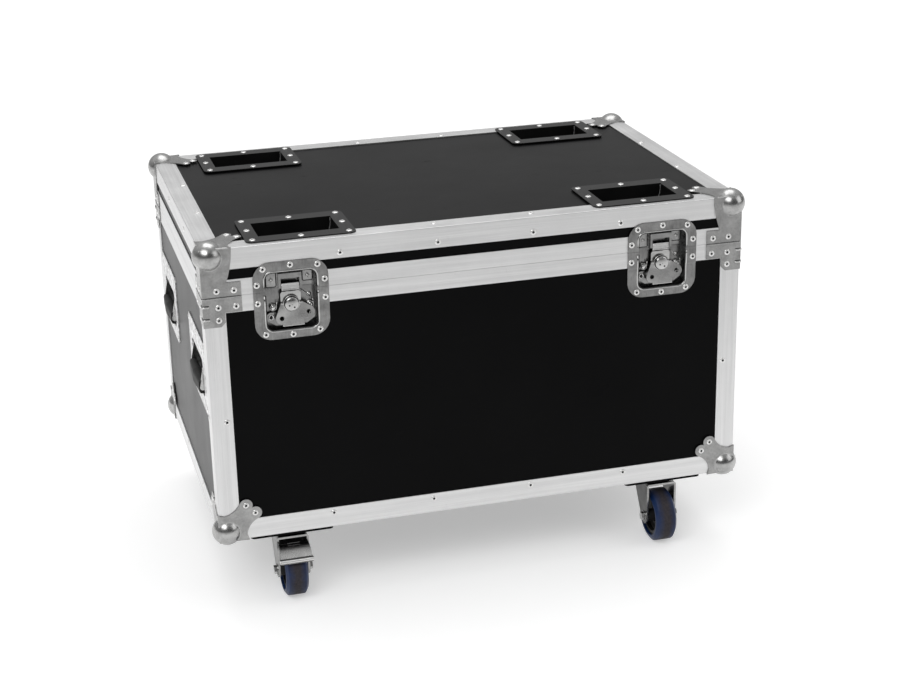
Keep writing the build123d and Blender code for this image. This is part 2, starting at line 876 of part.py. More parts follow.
def latch_spindle(x):
    """The turning spindle: domed knob, neck, eccentric cam and a retainer behind the pan."""
    front = -half_depth
    axis = Axis((x, 0, spindle_z), (0, 1, 0))
    back = front + pan_depth + latch_wall + fit_gap
    with BuildPart() as spindle:
        cap_back = front + knob_step - knob_groove
        cap_face = cap_back - knob_cap_height
        with BuildSketch(Plane.XY.offset(spindle_z)):
            with BuildLine():
                TangentArc(
                    (x, cap_face - knob_crown),
                    (x + knob_cap_radius - knob_round, cap_face),
                    tangent=(1, 0),
                )
                JernArc(
                    start=(x + knob_cap_radius - knob_round, cap_face),
                    tangent=(1, 0),
                    radius=knob_round,
                    arc_size=90,
                )
                Polyline(
                    (x + knob_cap_radius, cap_face + knob_round),
                    (x + knob_cap_radius, cap_back),
                    (x + knob_groove_radius, cap_back),
                    (x + knob_groove_radius, front + knob_step),
                    (x + knob_radius, front + knob_step),
                    (x + knob_radius, front + knob_back),
                    (x + neck_radius, front + knob_back),
                    (x + neck_radius, front + cam_front),
                    (x + shaft_radius, front + cam_front),
                    (x + shaft_radius, back),
                    (x + retainer_radius, back),
                    (x + retainer_radius, back + retainer_wall),
                    (x, back + retainer_wall),
                    (x, cap_face - knob_crown),
                )
            make_face()
        revolve(axis=axis)
        with BuildSketch(depth_plane(cam_front)):
            with Locations((x, spindle_z - cam_offset)):
                Circle(cam_radius)
        extrude(amount=cam_front - cam_back)
        for turn in (-1, 1):
            start = wing_notch - wing_pin_reach - fit_gap
            with BuildSketch(Plane.YZ.offset(x + turn * start)):
                with Locations((front + wing_axis_depth, spindle_z)):
                    Circle(wing_pin_radius + pin_clearance)
            extrude(amount=turn * knob_radius, mode=Mode.SUBTRACT)
    return spindle


def latch_wing(x):
    """The folding butterfly handle, with two padlock lobes, a finger tab and two pivot pins."""
    seat = Plane(
        origin=(x, wing_axis_depth - half_depth, spindle_z), x_dir=(1, 0, 0), z_dir=(0, -1, 0)
    ).rotated((-wing_tilt, 0, 0))
    with BuildPart() as wing:
        with BuildSketch(seat):
            Rectangle(2 * wing_shoulder, 2 * wing_top)
            with Locations(*wing_lobes):
                Circle(wing_lobe_radius)
            make_hull()
            with Locations((tab_shift, 0)):
                Rectangle(2 * tab_half, tab_reach, align=(Align.CENTER, Align.MAX))
            with Locations((0, wing_top + wing_shoulder)):
                Rectangle(3 * wing_shoulder, 2 * wing_shoulder, mode=Mode.SUBTRACT)
            Circle(wing_notch, mode=Mode.SUBTRACT)
            with Locations(*wing_lobes):
                Circle(wing_hole_radius, mode=Mode.SUBTRACT)
        extrude(amount=wing_plate / 2, both=True)
        for turn in (-1, 1):
            start = wing_notch - wing_pin_reach
            with BuildSketch(Plane.YZ.offset(x + turn * start)):
                with Locations((wing_axis_depth - half_depth, spindle_z)):
                    Circle(wing_pin_radius)
            extrude(amount=turn * 2 * wing_pin_reach)
    return wing


for x, name in ((-latch_x, "left"), (latch_x, "right")):
    save(latch_hook(x), f"latch_hook_{name}")
    save(latch_spindle(x), f"latch_spindle_{name}")
    save(latch_wing(x), f"latch_wing_{name}")


# Rear hinges

knuckle_length = (hinge_length - (knuckle_count - 1) * knuckle_gap) / knuckle_count


def hinge_leaves(first_knuckle, up):
    """The leaves of both hinges on one side of the split, with every second knuckle."""
    with BuildPart() as leaves:
        for x in (-hinge_x, hinge_x):
            start = x - hinge_length / 2
            near = knuckle_radius + knuckle_gap
            with BuildSketch(Plane.YZ.offset(start)):
                with Locations((half_depth, split_z + up * near)):
                    Rectangle(
                        hinge_plate,
                        hinge_leaf_height - near,
                        align=(Align.MIN, Align.MIN if up > 0 else Align.MAX),
                    )
            extrude(amount=hinge_length)
            for number in range(first_knuckle, knuckle_count, 2):
                place = start + number * (knuckle_length + knuckle_gap)
                with BuildSketch(Plane.YZ.offset(place)):
                    with Locations((half_depth + knuckle_gap, split_z)):
                        Rectangle(
                            hinge_plate - knuckle_gap,
                            2 * near,
                            align=(Align.MIN, Align.MIN if up > 0 else Align.MAX),
                        )
                    with Locations((hinge_y, split_z)):
                        Circle(knuckle_radius)
                        Circle(hinge_pin_radius + pin_clearance, mode=Mode.SUBTRACT)
                extrude(amount=knuckle_length)
    return leaves


save(hinge_leaves(0, -1), "base_hinge_leaves")
save(hinge_leaves(1, 1), "lid_hinge_leaves")

with BuildPart() as hinge_pins:
    for x in (-hinge_x, hinge_x):
        with BuildSketch(Plane.YZ.offset(x)):
            with Locations((hinge_y, split_z)):
                Circle(hinge_pin_radius)
        extrude(amount=hinge_length / 2, both=True)
save(hinge_pins, "hinge_pins")


# Castors

castor_plate_bottom = castor_height - castor_plate_wall
race_bottom = castor_plate_bottom - race_height
crown_top = race_bottom - fit_gap
crown_bottom = crown_top - fork_wall

with BuildPart() as castor_boards:
    with BuildSketch(Plane.XY.offset(castor_height)):
        with GridLocations(2 * castor_x, 2 * castor_y, 2, 2):
            RectangleRounded(board_length, board_width, board_corner)
    extrude(amount=board_wall)
save(castor_boards, "castor_boards")

with BuildPart() as castor_plates:
    with BuildSketch(Plane.XY.offset(castor_plate_bottom)):
        with GridLocations(2 * castor_x, 2 * castor_y, 2, 2):
            RectangleRounded(castor_plate_length, castor_plate_width, castor_plate_corner)
    extrude(amount=castor_plate_wall)
    with BuildSketch(Plane.XY.offset(race_bottom)):
        with GridLocations(2 * castor_x, 2 * castor_y, 2, 2):
            Circle(race_radius)
    extrude(amount=race_height)
    with BuildSketch(Plane.XY.offset(crown_bottom - fit_gap)):
        with GridLocations(2 * castor_x, 2 * castor_y, 2, 2):
            Circle(kingpin_radius)
    extrude(amount=race_bottom - crown_bottom + fit_gap)
    with BuildSketch(Plane.XY.offset(crown_bottom - fit_gap - kingpin_nut_height)):
        with GridLocations(2 * castor_x, 2 * castor_y, 2, 2):
            RegularPolygon(kingpin_nut_radius, 6)
    extrude(amount=kingpin_nut_height)
save(castor_plates, "castor_plates")


def castor_fork(x, y, braked):
    """A pressed fork: a folded channel cut to the side profile, with a round swivel head."""
    axle_y = y - castor_trail
    with BuildPart() as fork:
        with BuildSketch(Plane.XZ.offset(fork_nose - axle_y)) as channel:
            with Locations((x, axle_z - fork_nose)):
                Rectangle(
                    fork_width, crown_top - axle_z + fork_nose, align=(Align.CENTER, Align.MIN)
                )
            fillet(channel.vertices().group_by(Axis.Y)[-1], fork_bend)
            with Locations((x, axle_z - fork_nose)):
                Rectangle(
                    fork_width - 2 * fork_wall,
                    crown_bottom - axle_z + fork_nose,
                    align=(Align.CENTER, Align.MIN),
                    mode=Mode.SUBTRACT,
                )
        extrude(amount=-fork_nose - fork_tail)
        with BuildSketch(Plane.YZ.offset(x - fork_width)):
            with Locations((axle_y, axle_z)):
                Circle(fork_nose)
            with Locations((axle_y - fork_nose, crown_top)):
                Rectangle(
                    fork_nose + fork_tail,
                    crown_top - axle_z - fork_shoulder,
                    align=(Align.MIN, Align.MAX),
                )
            make_hull()
        extrude(amount=2 * fork_width, mode=Mode.INTERSECT)
        with BuildSketch(Plane.XY.offset(crown_bottom)):
            with Locations((x, y)):
                Circle(swivel_radius)
        extrude(amount=fork_wall)
        with BuildSketch(Plane.XY.offset(crown_bottom)):
            with Locations((x, y)):
                Circle(kingpin_radius + pin_clearance)
        extrude(amount=fork_wall, mode=Mode.SUBTRACT)
        with BuildSketch(Plane.YZ.offset(x)):
            with Locations((axle_y, axle_z)):
                Circle(axle_radius + pin_clearance)
            if braked:
                with Locations((axle_y - pedal_pivot_lead, axle_z + pedal_pivot_rise)):
                    Circle(pedal_pin_radius + pin_clearance)
        extrude(amount=fork_width, both=True, mode=Mode.SUBTRACT)
    return fork


def castor_tyre(x, y):
    """The tyre, with sloped and rounded shoulders."""
    axle_y = y - castor_trail
    tyre_height = wheel_radius - tyre_inner_radius
    with BuildPart() as tyre:
        with BuildSketch(Plane.XY.offset(axle_z)) as section:
            with Locations((x, axle_y + tyre_inner_radius)):
                Polygon(
                    (-tyre_width / 2, 0),
                    (tyre_width / 2, 0),
                    (tyre_width / 2, tyre_height - tyre_shoulder_height),
                    (tyre_width / 2 - tyre_shoulder_width, tyre_height),
                    (tyre_shoulder_width - tyre_width / 2, tyre_height),
                    (-tyre_width / 2, tyre_height - tyre_shoulder_height),
                    align=None,
                )
            fillet(section.vertices().group_by(Axis.Y)[-1], tyre_shoulder)
        revolve(axis=Axis((x, axle_y, axle_z), (1, 0, 0)))
    return tyre


def castor_wheel(x, y):
    """The wheel centre: rim, web and a hub that turns on the axle."""
    axle_y = y - castor_trail
    bore = axle_radius + pin_clearance
    with BuildPart() as wheel:
        with BuildSketch(Plane.XY.offset(axle_z)):
            with Locations((x, axle_y + rim_inner_radius)):
                Rectangle(
                    2 * rim_half, tyre_inner_radius - rim_inner_radius, align=(Align.CENTER, Align.MIN)
                )
            with Locations((x, axle_y + bore)):
                Rectangle(2 * web_half, rim_inner_radius - bore, align=(Align.CENTER, Align.MIN))
                Rectangle(hub_width, hub_radius - bore, align=(Align.CENTER, Align.MIN))
        revolve(axis=Axis((x, axle_y, axle_z), (1, 0, 0)))
    return wheel


def castor_axle(x, y):
    """The axle bolt, with a hexagon head on one side of the fork and a nut on the other."""
    axle_y = y - castor_trail
    with BuildPart() as axle:
        with BuildSketch(Plane.YZ.offset(x)):
            with Locations((axle_y, axle_z)):
                Circle(axle_radius)
        extrude(amount=fork_width / 2, both=True)
        for turn in (-1, 1):
            with BuildSketch(Plane.YZ.offset(x + turn * fork_width / 2)):
                with Locations((axle_y, axle_z)):
                    RegularPolygon(bolt_head_radius, 6)
            extrude(amount=turn * bolt_head_height)
    return axle


def brake_pedal(x, y):
    """A bent sheet pedal that hangs over the wheel between two ears on a pivot."""
    axle_y = y - castor_trail
    pivot = (axle_y - pedal_pivot_lead, axle_z + pedal_pivot_rise)
    heel = (axle_y - pedal_heel_lead, axle_z + pedal_heel_rise)
    bend = (axle_y - pedal_bend_lead, axle_z + pedal_bend_rise)
    toe = (axle_y - pedal_toe_lead, axle_z + pedal_toe_rise)
    lip = (axle_y - pedal_lip_lead, axle_z + pedal_lip_rise)
    with BuildPart() as pedal:
        with BuildSketch(Plane.YZ.offset(x - pedal_lip_half)):
            with BuildLine():
                Line(heel, bend)
                TangentArc(bend, toe, tangent=(bend[0] - heel[0], bend[1] - heel[1]))
                Line(toe, lip)
            trace(line_width=pedal_wall)
        extrude(amount=2 * pedal_lip_half)
        with BuildSketch(Plane.XY.offset(axle_z)):
            front = axle_y - fork_nose
            Polygon(
                (x - pedal_half, axle_y + fork_nose),
                (x + pedal_half, axle_y + fork_nose),
                (x + pedal_half, front - fit_gap),
                (x + pedal_shoulder_half, front - fit_gap),
                (x + pedal_lip_half, front - fork_tail),
                (x - pedal_lip_half, front - fork_tail),
                (x - pedal_shoulder_half, front - fit_gap),
                (x - pedal_half, front - fit_gap),
                align=None,
            )
        extrude(amount=crown_top - axle_z, mode=Mode.INTERSECT)
        for turn in (-1, 1):
            with BuildSketch(Plane.YZ.offset(x + turn * pedal_half)):
                with Locations(pivot):
                    Circle(pedal_ear_radius)
            extrude(amount=-turn * pedal_wall)
            with BuildSketch(Plane.YZ.offset(x + turn * pedal_half)):
                with Locations(pivot):
                    Circle(pedal_pin_radius)
            extrude(amount=turn * (fork_width / 2 - pedal_half))
    return pedal


castors = [
    ("front_left", -castor_x, -castor_y, True),
    ("front_right", castor_x, -castor_y, False),
    ("rear_left", -castor_x, castor_y, True),
    ("rear_right", castor_x, castor_y, False),
]
for name, x, y, braked in castors:
    save(castor_fork(x, y, braked), f"castor_fork_{name}")
    save(castor_axle(x, y), f"castor_axle_{name}")
    save(castor_wheel(x, y), f"castor_wheel_{name}")
    save(castor_tyre(x, y), f"castor_tyre_{name}")
    if braked:
        save(brake_pedal(x, y), f"brake_pedal_{name}")
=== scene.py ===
"""Looks of a lighting flight case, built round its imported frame.

Lengths are in metres, in the frame's own axes: X along the case, the latches on -Y, Z up.
A size that is written in millimetres is multiplied by MM.
"""

import math

import bmesh
import bpy
from mathutils import Matrix, Vector


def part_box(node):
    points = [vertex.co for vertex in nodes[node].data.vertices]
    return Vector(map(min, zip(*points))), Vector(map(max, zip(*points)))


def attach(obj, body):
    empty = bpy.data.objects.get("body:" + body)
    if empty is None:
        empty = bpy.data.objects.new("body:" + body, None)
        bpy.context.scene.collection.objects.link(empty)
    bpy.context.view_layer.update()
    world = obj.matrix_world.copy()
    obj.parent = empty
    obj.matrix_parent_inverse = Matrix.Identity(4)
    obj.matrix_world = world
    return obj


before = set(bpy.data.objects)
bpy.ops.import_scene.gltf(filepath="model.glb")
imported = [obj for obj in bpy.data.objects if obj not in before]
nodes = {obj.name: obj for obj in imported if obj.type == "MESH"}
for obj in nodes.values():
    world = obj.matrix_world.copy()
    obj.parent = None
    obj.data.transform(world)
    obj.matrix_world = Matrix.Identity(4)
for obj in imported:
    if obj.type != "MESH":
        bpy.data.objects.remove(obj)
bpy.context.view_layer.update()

MM = 0.001

# The case
case_low, case_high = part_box("base_edge_angles")
half_width = case_high.x
half_depth = case_high.y
case_bottom = case_low.z
case_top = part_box("lid_edge_angles")[1].z
split_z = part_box("base_corner_braces")[1].z
angle_width = 30 * MM
sheet = 1.5 * MM
ball_radius = 21.5 * MM
ball_inset = 12 * MM

# The stacking dishes in the lid
dish_half_length = 77 * MM
dish_half_width = 56 * MM
dish_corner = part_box("stacking_dishes")[1]
dish_x = dish_corner.x - dish_half_length
dish_y = dish_corner.y - dish_half_width
dish_end = 57 * MM
dish_side = 32 * MM
dish_depth = 32 * MM
dish_curve = 24 * MM

# The latches and their pans
spindle_low, spindle_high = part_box("latch_spindle_right")
knob_radius = 11 * MM
knob_cap_radius = 10 * MM
knob_front = spindle_low.y
spindle_drop = 6.5 * MM
spindle_z = spindle_high.z - knob_radius
latch_x = (spindle_low.x + spindle_high.x) / 2
latch_z = spindle_z + spindle_drop
latch_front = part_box("base_latch_dishes")[0].y
joggle_drop = 23.5 * MM
joggle_run = 3.5 * MM
joggle_z = split_z - joggle_drop
pan_drop = 1 * MM
pan_depth = 14 * MM
pan_half_width = 36.25 * MM
pan_half_height = 42.25 * MM
pan_corner = 10 * MM
pan_z = latch_z - pan_drop
pan_floor = -half_depth + pan_depth
wing_tilt = math.radians(8)
wing_hinge_depth = 3.75 * MM

# The handles and hinges
bail_low, bail_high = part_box("handle_bail_right_front")
bail_rise = 16 * MM
handle_y = -(bail_low.y + bail_high.y) / 2
handle_z = bail_high.z - bail_rise
hinge_half = 32 * MM
hinge_thick = 2 * MM
hinge_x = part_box("hinge_pins")[1].x - hinge_half
hinge_face = half_depth + hinge_thick

# The castors
plate_half_length = 50 * MM
plate_half_width = 42.5 * MM
plate_thick = 3 * MM
plate_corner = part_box("castor_plates")[1]
castor_x = plate_corner.x - plate_half_length
castor_y = plate_corner.y - plate_half_width
plate_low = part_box("castor_boards")[0].z - plate_thick
tyre_low, tyre_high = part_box("castor_tyre_front_right")
axle_z = (tyre_low.z + tyre_high.z) / 2
wheel_radius = (tyre_high.z - tyre_low.z) / 2
trail = -castor_y - (tyre_low.y + tyre_high.y) / 2
pedal_toe_rise = 33 * MM
pedal_bend_rise = 46 * MM

# A noise seldom leaves this range
NOISE_LOW = 0.3
NOISE_HIGH = 0.7


# Node material helpers

class Nodes:
    """A small builder for the node tree of a material or world."""

    def __init__(self, owner):
        owner.use_nodes = True
        self.tree = owner.node_tree
        self.tree.nodes.clear()

    def node(self, kind, inputs=None, **settings):
        """A new node with its settings, and with its inputs linked to results or set to plain values."""
        node = self.tree.nodes.new(kind)
        for setting, value in settings.items():
            setattr(node, setting, value)
        for socket, value in (inputs or {}).items():
            self.feed(node.inputs[socket], value)
        return node

    def feed(self, socket, value):
        if isinstance(value, bpy.types.NodeSocket):
            self.tree.links.new(value, socket)
        else:
            socket.default_value = value


class Shader(Nodes):
    """A builder for one procedural material."""

    def __init__(self, name):
        self.material = bpy.data.materials.new(name)
        super().__init__(self.material)
        self.coords = self.node("ShaderNodeTexCoord").outputs["Object"]
        self.surface = self.node("ShaderNodeBsdfPrincipled")
        self.node("ShaderNodeOutputMaterial", {"Surface": self.surface.outputs[0]})

    def set(self, name, value):
        self.feed(self.surface.inputs[name], value)

    def axis(self, letter):
        """A place's X, Y or Z."""
        return self.node("ShaderNodeSeparateXYZ", {"Vector": self.coords}).outputs[letter]

    def lean(self, letter):
        """How squarely a surface faces along an axis, from 0 to 1."""
        normal = self.node("ShaderNodeNewGeometry").outputs["Normal"]
        return self.size(self.node("ShaderNodeSeparateXYZ", {"Vector": normal}).outputs[letter])

    def noise(self, scale, detail=2.0, roughness=0.5, vector=None):
        inputs = {"Vector": vector or self.coords, "Scale": scale, "Detail": detail, "Roughness": roughness}
        return self.node("ShaderNodeTexNoise", inputs).outputs["Fac"]

    def streaks(self, scale, detail=3.0, roughness=0.6):
        """Noise with a scale for each axis, longest where its scale is least."""
        stretched = self.node("ShaderNodeVectorMath", {0: self.coords, 1: scale}, operation="MULTIPLY")
        return self.noise(1.0, detail, roughness, stretched.outputs[0])

    def cells(self, scale):
        return self.node("ShaderNodeTexVoronoi", {"Vector": self.coords, "Scale": scale}).outputs["Distance"]

    def math(self, operation, first, second=0.0):
        return self.node("ShaderNodeMath", {0: first, 1: second}, operation=operation).outputs[0]

    def add(self, first, second):
        return self.math("ADD", first, second)

    def minus(self, first, second):
        return self.math("SUBTRACT", first, second)

    def times(self, first, second):
        return self.math("MULTIPLY", first, second)

    def least(self, first, second):
        return self.math("MINIMUM", first, second)

    def size(self, value):
        return self.math("ABSOLUTE", value)

    def length(self, values):
        """The length of a vector, given its parts."""
        total = 0.0
        for value in values:
            total = self.add(self.times(value, value), total)
        return self.math("SQRT", total)

    def span(self, value, low, high, start=0.0, end=1.0):
        """value mapped from low..high to start..end, and held at both ends."""
        inputs = {"Value": value, "From Min": low, "From Max": high, "To Min": start, "To Max": end}
        return self.node("ShaderNodeMapRange", inputs).outputs["Result"]

    def spread(self, noise, start=0.0, end=1.0):
        """A noise's usual range mapped to start..end."""
        return self.span(noise, NOISE_LOW, NOISE_HIGH, start, end)

    def blend(self, share, first, second):
        """A mix of two colours."""
        return self.node("ShaderNodeMix", {0: share, 6: first, 7: second}, data_type="RGBA").outputs[2]

    def mixed(self, share, first, second):
        """A mix of two numbers."""
        return self.node("ShaderNodeMix", {0: share, 2: first, 3: second}, data_type="FLOAT").outputs[0]

    def relief(self, height, strength, distance):
        """A bump node, whose result is a normal."""
        return self.node("ShaderNodeBump", {"Height": height, "Strength": strength, "Distance": distance})

    def bump(self, height, strength, distance, under=None):
        """Fine relief, laid over the slow waves of under where there are any."""
        node = self.relief(height, strength, distance)
        if under:
            self.feed(node.inputs["Normal"], under)
        self.set("Normal", node.outputs[0])

    def waves(self, scale, distance):
        """The slow unevenness of thin sheet, as a normal for bump to lie over."""
        return self.relief(self.noise(scale, detail=1.0, roughness=0.4), 1.0, distance).outputs[0]


def grey(value):
    return (value, value, value, 1.0)


def inside_ends(shader):
    """How far a place lies inside the planes of the case's ends."""
    return shader.minus(half_width, shader.size(shader.axis("X")))


def inside_sides(shader):
    """How far a place lies inside the planes of the case's front and rear."""
    return shader.minus(half_depth, shader.size(shader.axis("Y")))


# Materials

def aluminium(name, posts=False):
    """Brushed aluminium whose grain follows each bar: along X or Y, and upwards in the posts."""
    shader = Shader(name)
    grain_across, grain_along = 2600.0, 9.0
    band_across, band_along = 170.0, 3.0

    def brushed(axis):
        """Fine grain and broad bands along one axis."""
        grain_scale = [grain_along if number == axis else grain_across for number in range(3)]
        band_scale = [band_along if number == axis else band_across for number in range(3)]
        return shader.streaks(grain_scale), shader.streaks(band_scale, detail=2.0, roughness=0.5)

    grain_x, band_x = brushed(0)
    grain_y, band_y = brushed(1)
    along_y = shader.math("LESS_THAN", inside_ends(shader), inside_sides(shader))
    streak = shader.mixed(along_y, grain_x, grain_y)
    cloud = shader.mixed(along_y, band_x, band_y)
    if posts:
        grain_z, band_z = brushed(2)
        upright = shader.math("GREATER_THAN", shader.axis("Z"), case_bottom + angle_width)
        streak = shader.mixed(upright, streak, grain_z)
        cloud = shader.mixed(upright, cloud, band_z)
    patch = shader.noise(14.0, detail=4.0, roughness=0.6)
    scratch = shader.span(shader.streaks((90.0, 270.0, 54.0), detail=2.0, roughness=0.7), 0.70, 0.78)
    tone = shader.add(shader.spread(streak, 0.69, 0.83), shader.spread(cloud, -0.045, 0.045))
    tone = shader.add(tone, shader.span(patch, 0.35, 0.65, -0.025, 0.025))
    pale = shader.blend(tone, grey(0.0), grey(1.0))
    shader.set("Base Color", shader.blend(shader.times(scratch, 0.15), pale, grey(0.55)))
    shader.set("Metallic", 1.0)
    rough = shader.spread(streak, 0.34, 0.48)
    shader.set("Roughness", shader.add(rough, shader.spread(patch, -0.04, 0.05)))
    height = shader.minus(streak, shader.times(scratch, 0.4))
    shader.bump(height, strength=0.10, distance=0.3 * MM)
    return shader.material


def laminate(name):
    """Satin black laminate: a fine pebble grain, faint scuffs and dust, and a soft sheen.

    The plywood inside the case has a plain dark film.
    """
    shader = Shader(name)
    pebble = shader.cells(1500.0)
    broad = shader.noise(6.0, detail=4.0, roughness=0.6)
    speck = shader.span(shader.noise(900.0, roughness=0.8), 0.68, 0.76)
    scuff = shader.span(shader.streaks((26.0, 38.0, 60.0), roughness=0.7), 0.66, 0.80)
    shift = shader.spread(broad)
    outer = shader.blend(shift, (0.0024, 0.0024, 0.0026, 1), (0.0036, 0.0036, 0.0038, 1))
    film = shader.blend(shift, (0.016, 0.014, 0.013, 1), (0.024, 0.021, 0.019, 1))
    z = shader.axis("Z")
    in_z = shader.least(shader.minus(case_top, z), shader.minus(z, case_bottom))
    depth = shader.least(shader.least(inside_ends(shader), inside_sides(shader)), in_z)
    base = shader.blend(shader.span(depth, 3.0 * MM, 5.0 * MM), outer, film)
    dusty = shader.blend(shader.times(speck, 0.12), base, grey(0.03))
    shader.set("Base Color", shader.blend(shader.times(scuff, 0.25), dusty, grey(0.010)))
    shader.set("Specular IOR Level", 0.05)
    rough = shader.spread(broad, 0.27, 0.33)
    shader.set("Roughness", shader.add(rough, shader.times(scuff, 0.10)))
    shader.bump(pebble, strength=0.05, distance=0.1 * MM)
    return shader.material


def zinc(name, tone, rough, mottle=0.06, streak_scale=(500.0, 40.0, 500.0), shade=None):
    """Zinc-plated sheet: faint rolling streaks, mottled plating and rubbed patches.

    shade, a function of the shader, gives a factor for painted light and shade on some places.
    """
    shader = Shader(name)
    cloud = shader.noise(60.0, detail=5.0, roughness=0.65)
    grain = shader.streaks(streak_scale)
    fine = shader.noise(2200.0)
    rub = shader.span(shader.noise(24.0, detail=3.0, roughness=0.7), 0.55, 0.75)
    light = shader.add(shader.spread(cloud, tone - mottle, tone + mottle),
                       shader.spread(grain, -mottle / 2, mottle / 2))
    light = shader.add(light, shader.times(rub, mottle))
    # Painted light and shade from the shade function
    if shade:
        light = shader.times(light, shade(shader))
    faint_yellow = (1.0, 0.998, 0.988, 1.0)
    shader.set("Base Color", shader.blend(light, grey(0.0), faint_yellow))
    shader.set("Metallic", 1.0)
    shader.set("Roughness", shader.add(shader.spread(cloud, rough + 0.05, rough - 0.04),
                                       shader.spread(fine, -0.03, 0.03)))
    sheet_waves = shader.waves(scale=22.0, distance=3 * MM)
    shader.bump(shader.add(fine, grain), strength=0.06, distance=0.2 * MM, under=sheet_waves)
    return shader.material


def pan_painted_shade(shader):
    """Painted shade: the side walls of the latch pans are darkened a great deal and their floors a little."""
    deep = shader.span(shader.axis("Y"), -half_depth + 0.5 * MM, -half_depth + 3.0 * MM)
    wall = shader.span(shader.lean("Y"), 0.5, 0.8, 1.0, 0.0)
    floor_tone = shader.mixed(deep, 1.0, 0.90)
    return shader.mixed(shader.times(deep, wall), floor_tone, 0.22)


def ball_painted_highlight(shader):
    """Painted highlight: the drawn balls of the corners are made brighter than the flat plate round them."""
    z = shader.axis("Z")
    off_x = shader.minus(inside_ends(shader), ball_inset)
    off_y = shader.minus(inside_sides(shader), ball_inset)
    high = shader.size(shader.minus(z, case_top - ball_inset))
    low = shader.size(shader.minus(z, case_bottom + ball_inset))
    reach = shader.length((off_x, off_y, shader.least(high, low)))
    return shader.span(reach, ball_radius + 0.2 * MM, ball_radius + 1.2 * MM, 1.30, 1.0)


def cheek_painted_dark_reflection(shader):
    """Painted dark reflection: faces of the castor forks that face along X, such as the flat cheeks, are
    darkened, and their edges keep the full tone.
    """
    return shader.span(shader.lean("X"), 0.6, 0.95, 1.0, 0.42)


def pedal_painted_light(shader):
    """Painted light on the brake pedal: painted shade at its heel, growing to a painted highlight down to the
    toe.
    """
    rise = shader.minus(shader.axis("Z"), axle_z)
    return shader.span(rise, pedal_toe_rise, pedal_bend_rise, 1.55, 0.16)


def speckled_zinc(name):
    """Hot-dip plate with its small bright and dark crystals, with painted shade inside the handle pans."""
    shader = Shader(name)
    crystal = shader.cells(160.0)
    cloud = shader.noise(45.0, detail=4.0, roughness=0.6)
    spot = shader.noise(230.0, detail=3.0, roughness=0.7)
    light = shader.add(shader.span(crystal, 0.1, 0.7, 0.36, 0.84),
                       shader.span(spot, 0.38, 0.62, -0.24, 0.14))
    light = shader.add(light, shader.spread(cloud, -0.05, 0.05))
    # Painted shade: the plate is darker deeper inside the handle pans
    pan = shader.span(inside_ends(shader), 2.0 * MM, 6.0 * MM, 1.0, 0.62)
    shader.set("Base Color", shader.blend(shader.times(light, pan), grey(0.0), grey(1.0)))
    shader.set("Metallic", 1.0)
    shader.set("Roughness", shader.spread(spot, 0.26, 0.46))
    shader.bump(shader.add(crystal, spot), strength=0.45, distance=0.6 * MM)
    return shader.material


def powder_coat(name):
    """Black powder coat with a fine orange-peel skin."""
    shader = Shader(name)
    peel = shader.noise(900.0, detail=3.0, roughness=0.6)
    broad = shader.noise(20.0, detail=3.0, roughness=0.6)
    worn = shader.span(shader.noise(130.0, detail=4.0, roughness=0.75), 0.66, 0.74)
    base = shader.blend(shader.spread(broad), grey(0.0045), grey(0.0075))
    shader.set("Base Color", shader.blend(shader.times(worn, 0.25), base, grey(0.05)))
    shader.set("Specular IOR Level", 0.22)
    shader.set("Roughness", shader.spread(peel, 0.30, 0.42))
    shader.bump(peel, strength=0.12, distance=0.2 * MM)
    return shader.material


def matt(name, tone):
    """A matt skin with a slight bloom: moulded rubber, and the near-black of painted shade and grey of
    painted highlight lines.
    """
    shader = Shader(name)
    grain = shader.noise(1100.0, detail=3.0, roughness=0.6)
    bloom = shader.noise(50.0, detail=3.0, roughness=0.6)
    shader.set("Base Color", shader.blend(shader.spread(bloom), grey(tone), grey(tone * 1.8)))
    shader.set("Roughness", shader.spread(grain, 0.50, 0.66))
    shader.set("Specular IOR Level", 0.35)
    shader.bump(grain, strength=0.15, distance=0.2 * MM)
    return shader.material


def tyre(name):
    """Blue elastic rubber, dull grey-brown where the tread has rolled."""
    shader = Shader(name)
    dirt = shader.noise(260.0, detail=4.0, roughness=0.7)
    cloud = shader.noise(70.0, detail=3.0, roughness=0.6)
    off_x = shader.size(shader.minus(shader.size(shader.axis("X")), castor_x))
    edge = shader.add(off_x, shader.spread(cloud, -1.2 * MM, 1.2 * MM))
    drop = shader.minus(shader.axis("Z"), axle_z)
    reach = shader.minus(shader.size(shader.add(shader.axis("Y"), trail)), castor_y)
    outer = shader.span(shader.length((drop, reach)), wheel_radius - 2.0 * MM, wheel_radius - 0.6 * MM)
    tread = shader.times(shader.span(edge, 3.5 * MM, 15.0 * MM, 1.0, 0.0), outer)
    blue = shader.blend(shader.spread(cloud), (0.004, 0.018, 0.075, 1), (0.007, 0.032, 0.120, 1))
    dust = shader.span(dirt, 0.35, 0.65)
    brown = shader.blend(dust, (0.024, 0.019, 0.020, 1), (0.050, 0.041, 0.040, 1))
    shader.set("Base Color", shader.blend(shader.times(tread, 0.92), blue, brown))
    shader.set("Roughness", shader.mixed(tread, 0.40, 0.72))
    shader.set("Specular IOR Level", 0.4)
    shader.bump(dirt, strength=0.12, distance=0.3 * MM)
    return shader.material


def nylon(name):
    """Dark moulded nylon of the wheel centres."""
    shader = Shader(name)
    grain = shader.noise(800.0)
    cloud = shader.noise(40.0, detail=3.0, roughness=0.6)
    shader.set("Base Color", shader.blend(shader.spread(cloud), grey(0.012), grey(0.022)))
    shader.set("Roughness", shader.spread(grain, 0.38, 0.5))
    shader.bump(grain, strength=0.06, distance=0.2 * MM)
    return shader.material


# Scales of the zinc's rolling streaks, least along the streaks
streaks_x = (60.0, 600.0, 600.0)
streaks_x_pedal = (60.0, 300.0, 300.0)
streaks_y_fork = (300.0, 60.0, 300.0)
streaks_z = (600.0, 600.0, 40.0)

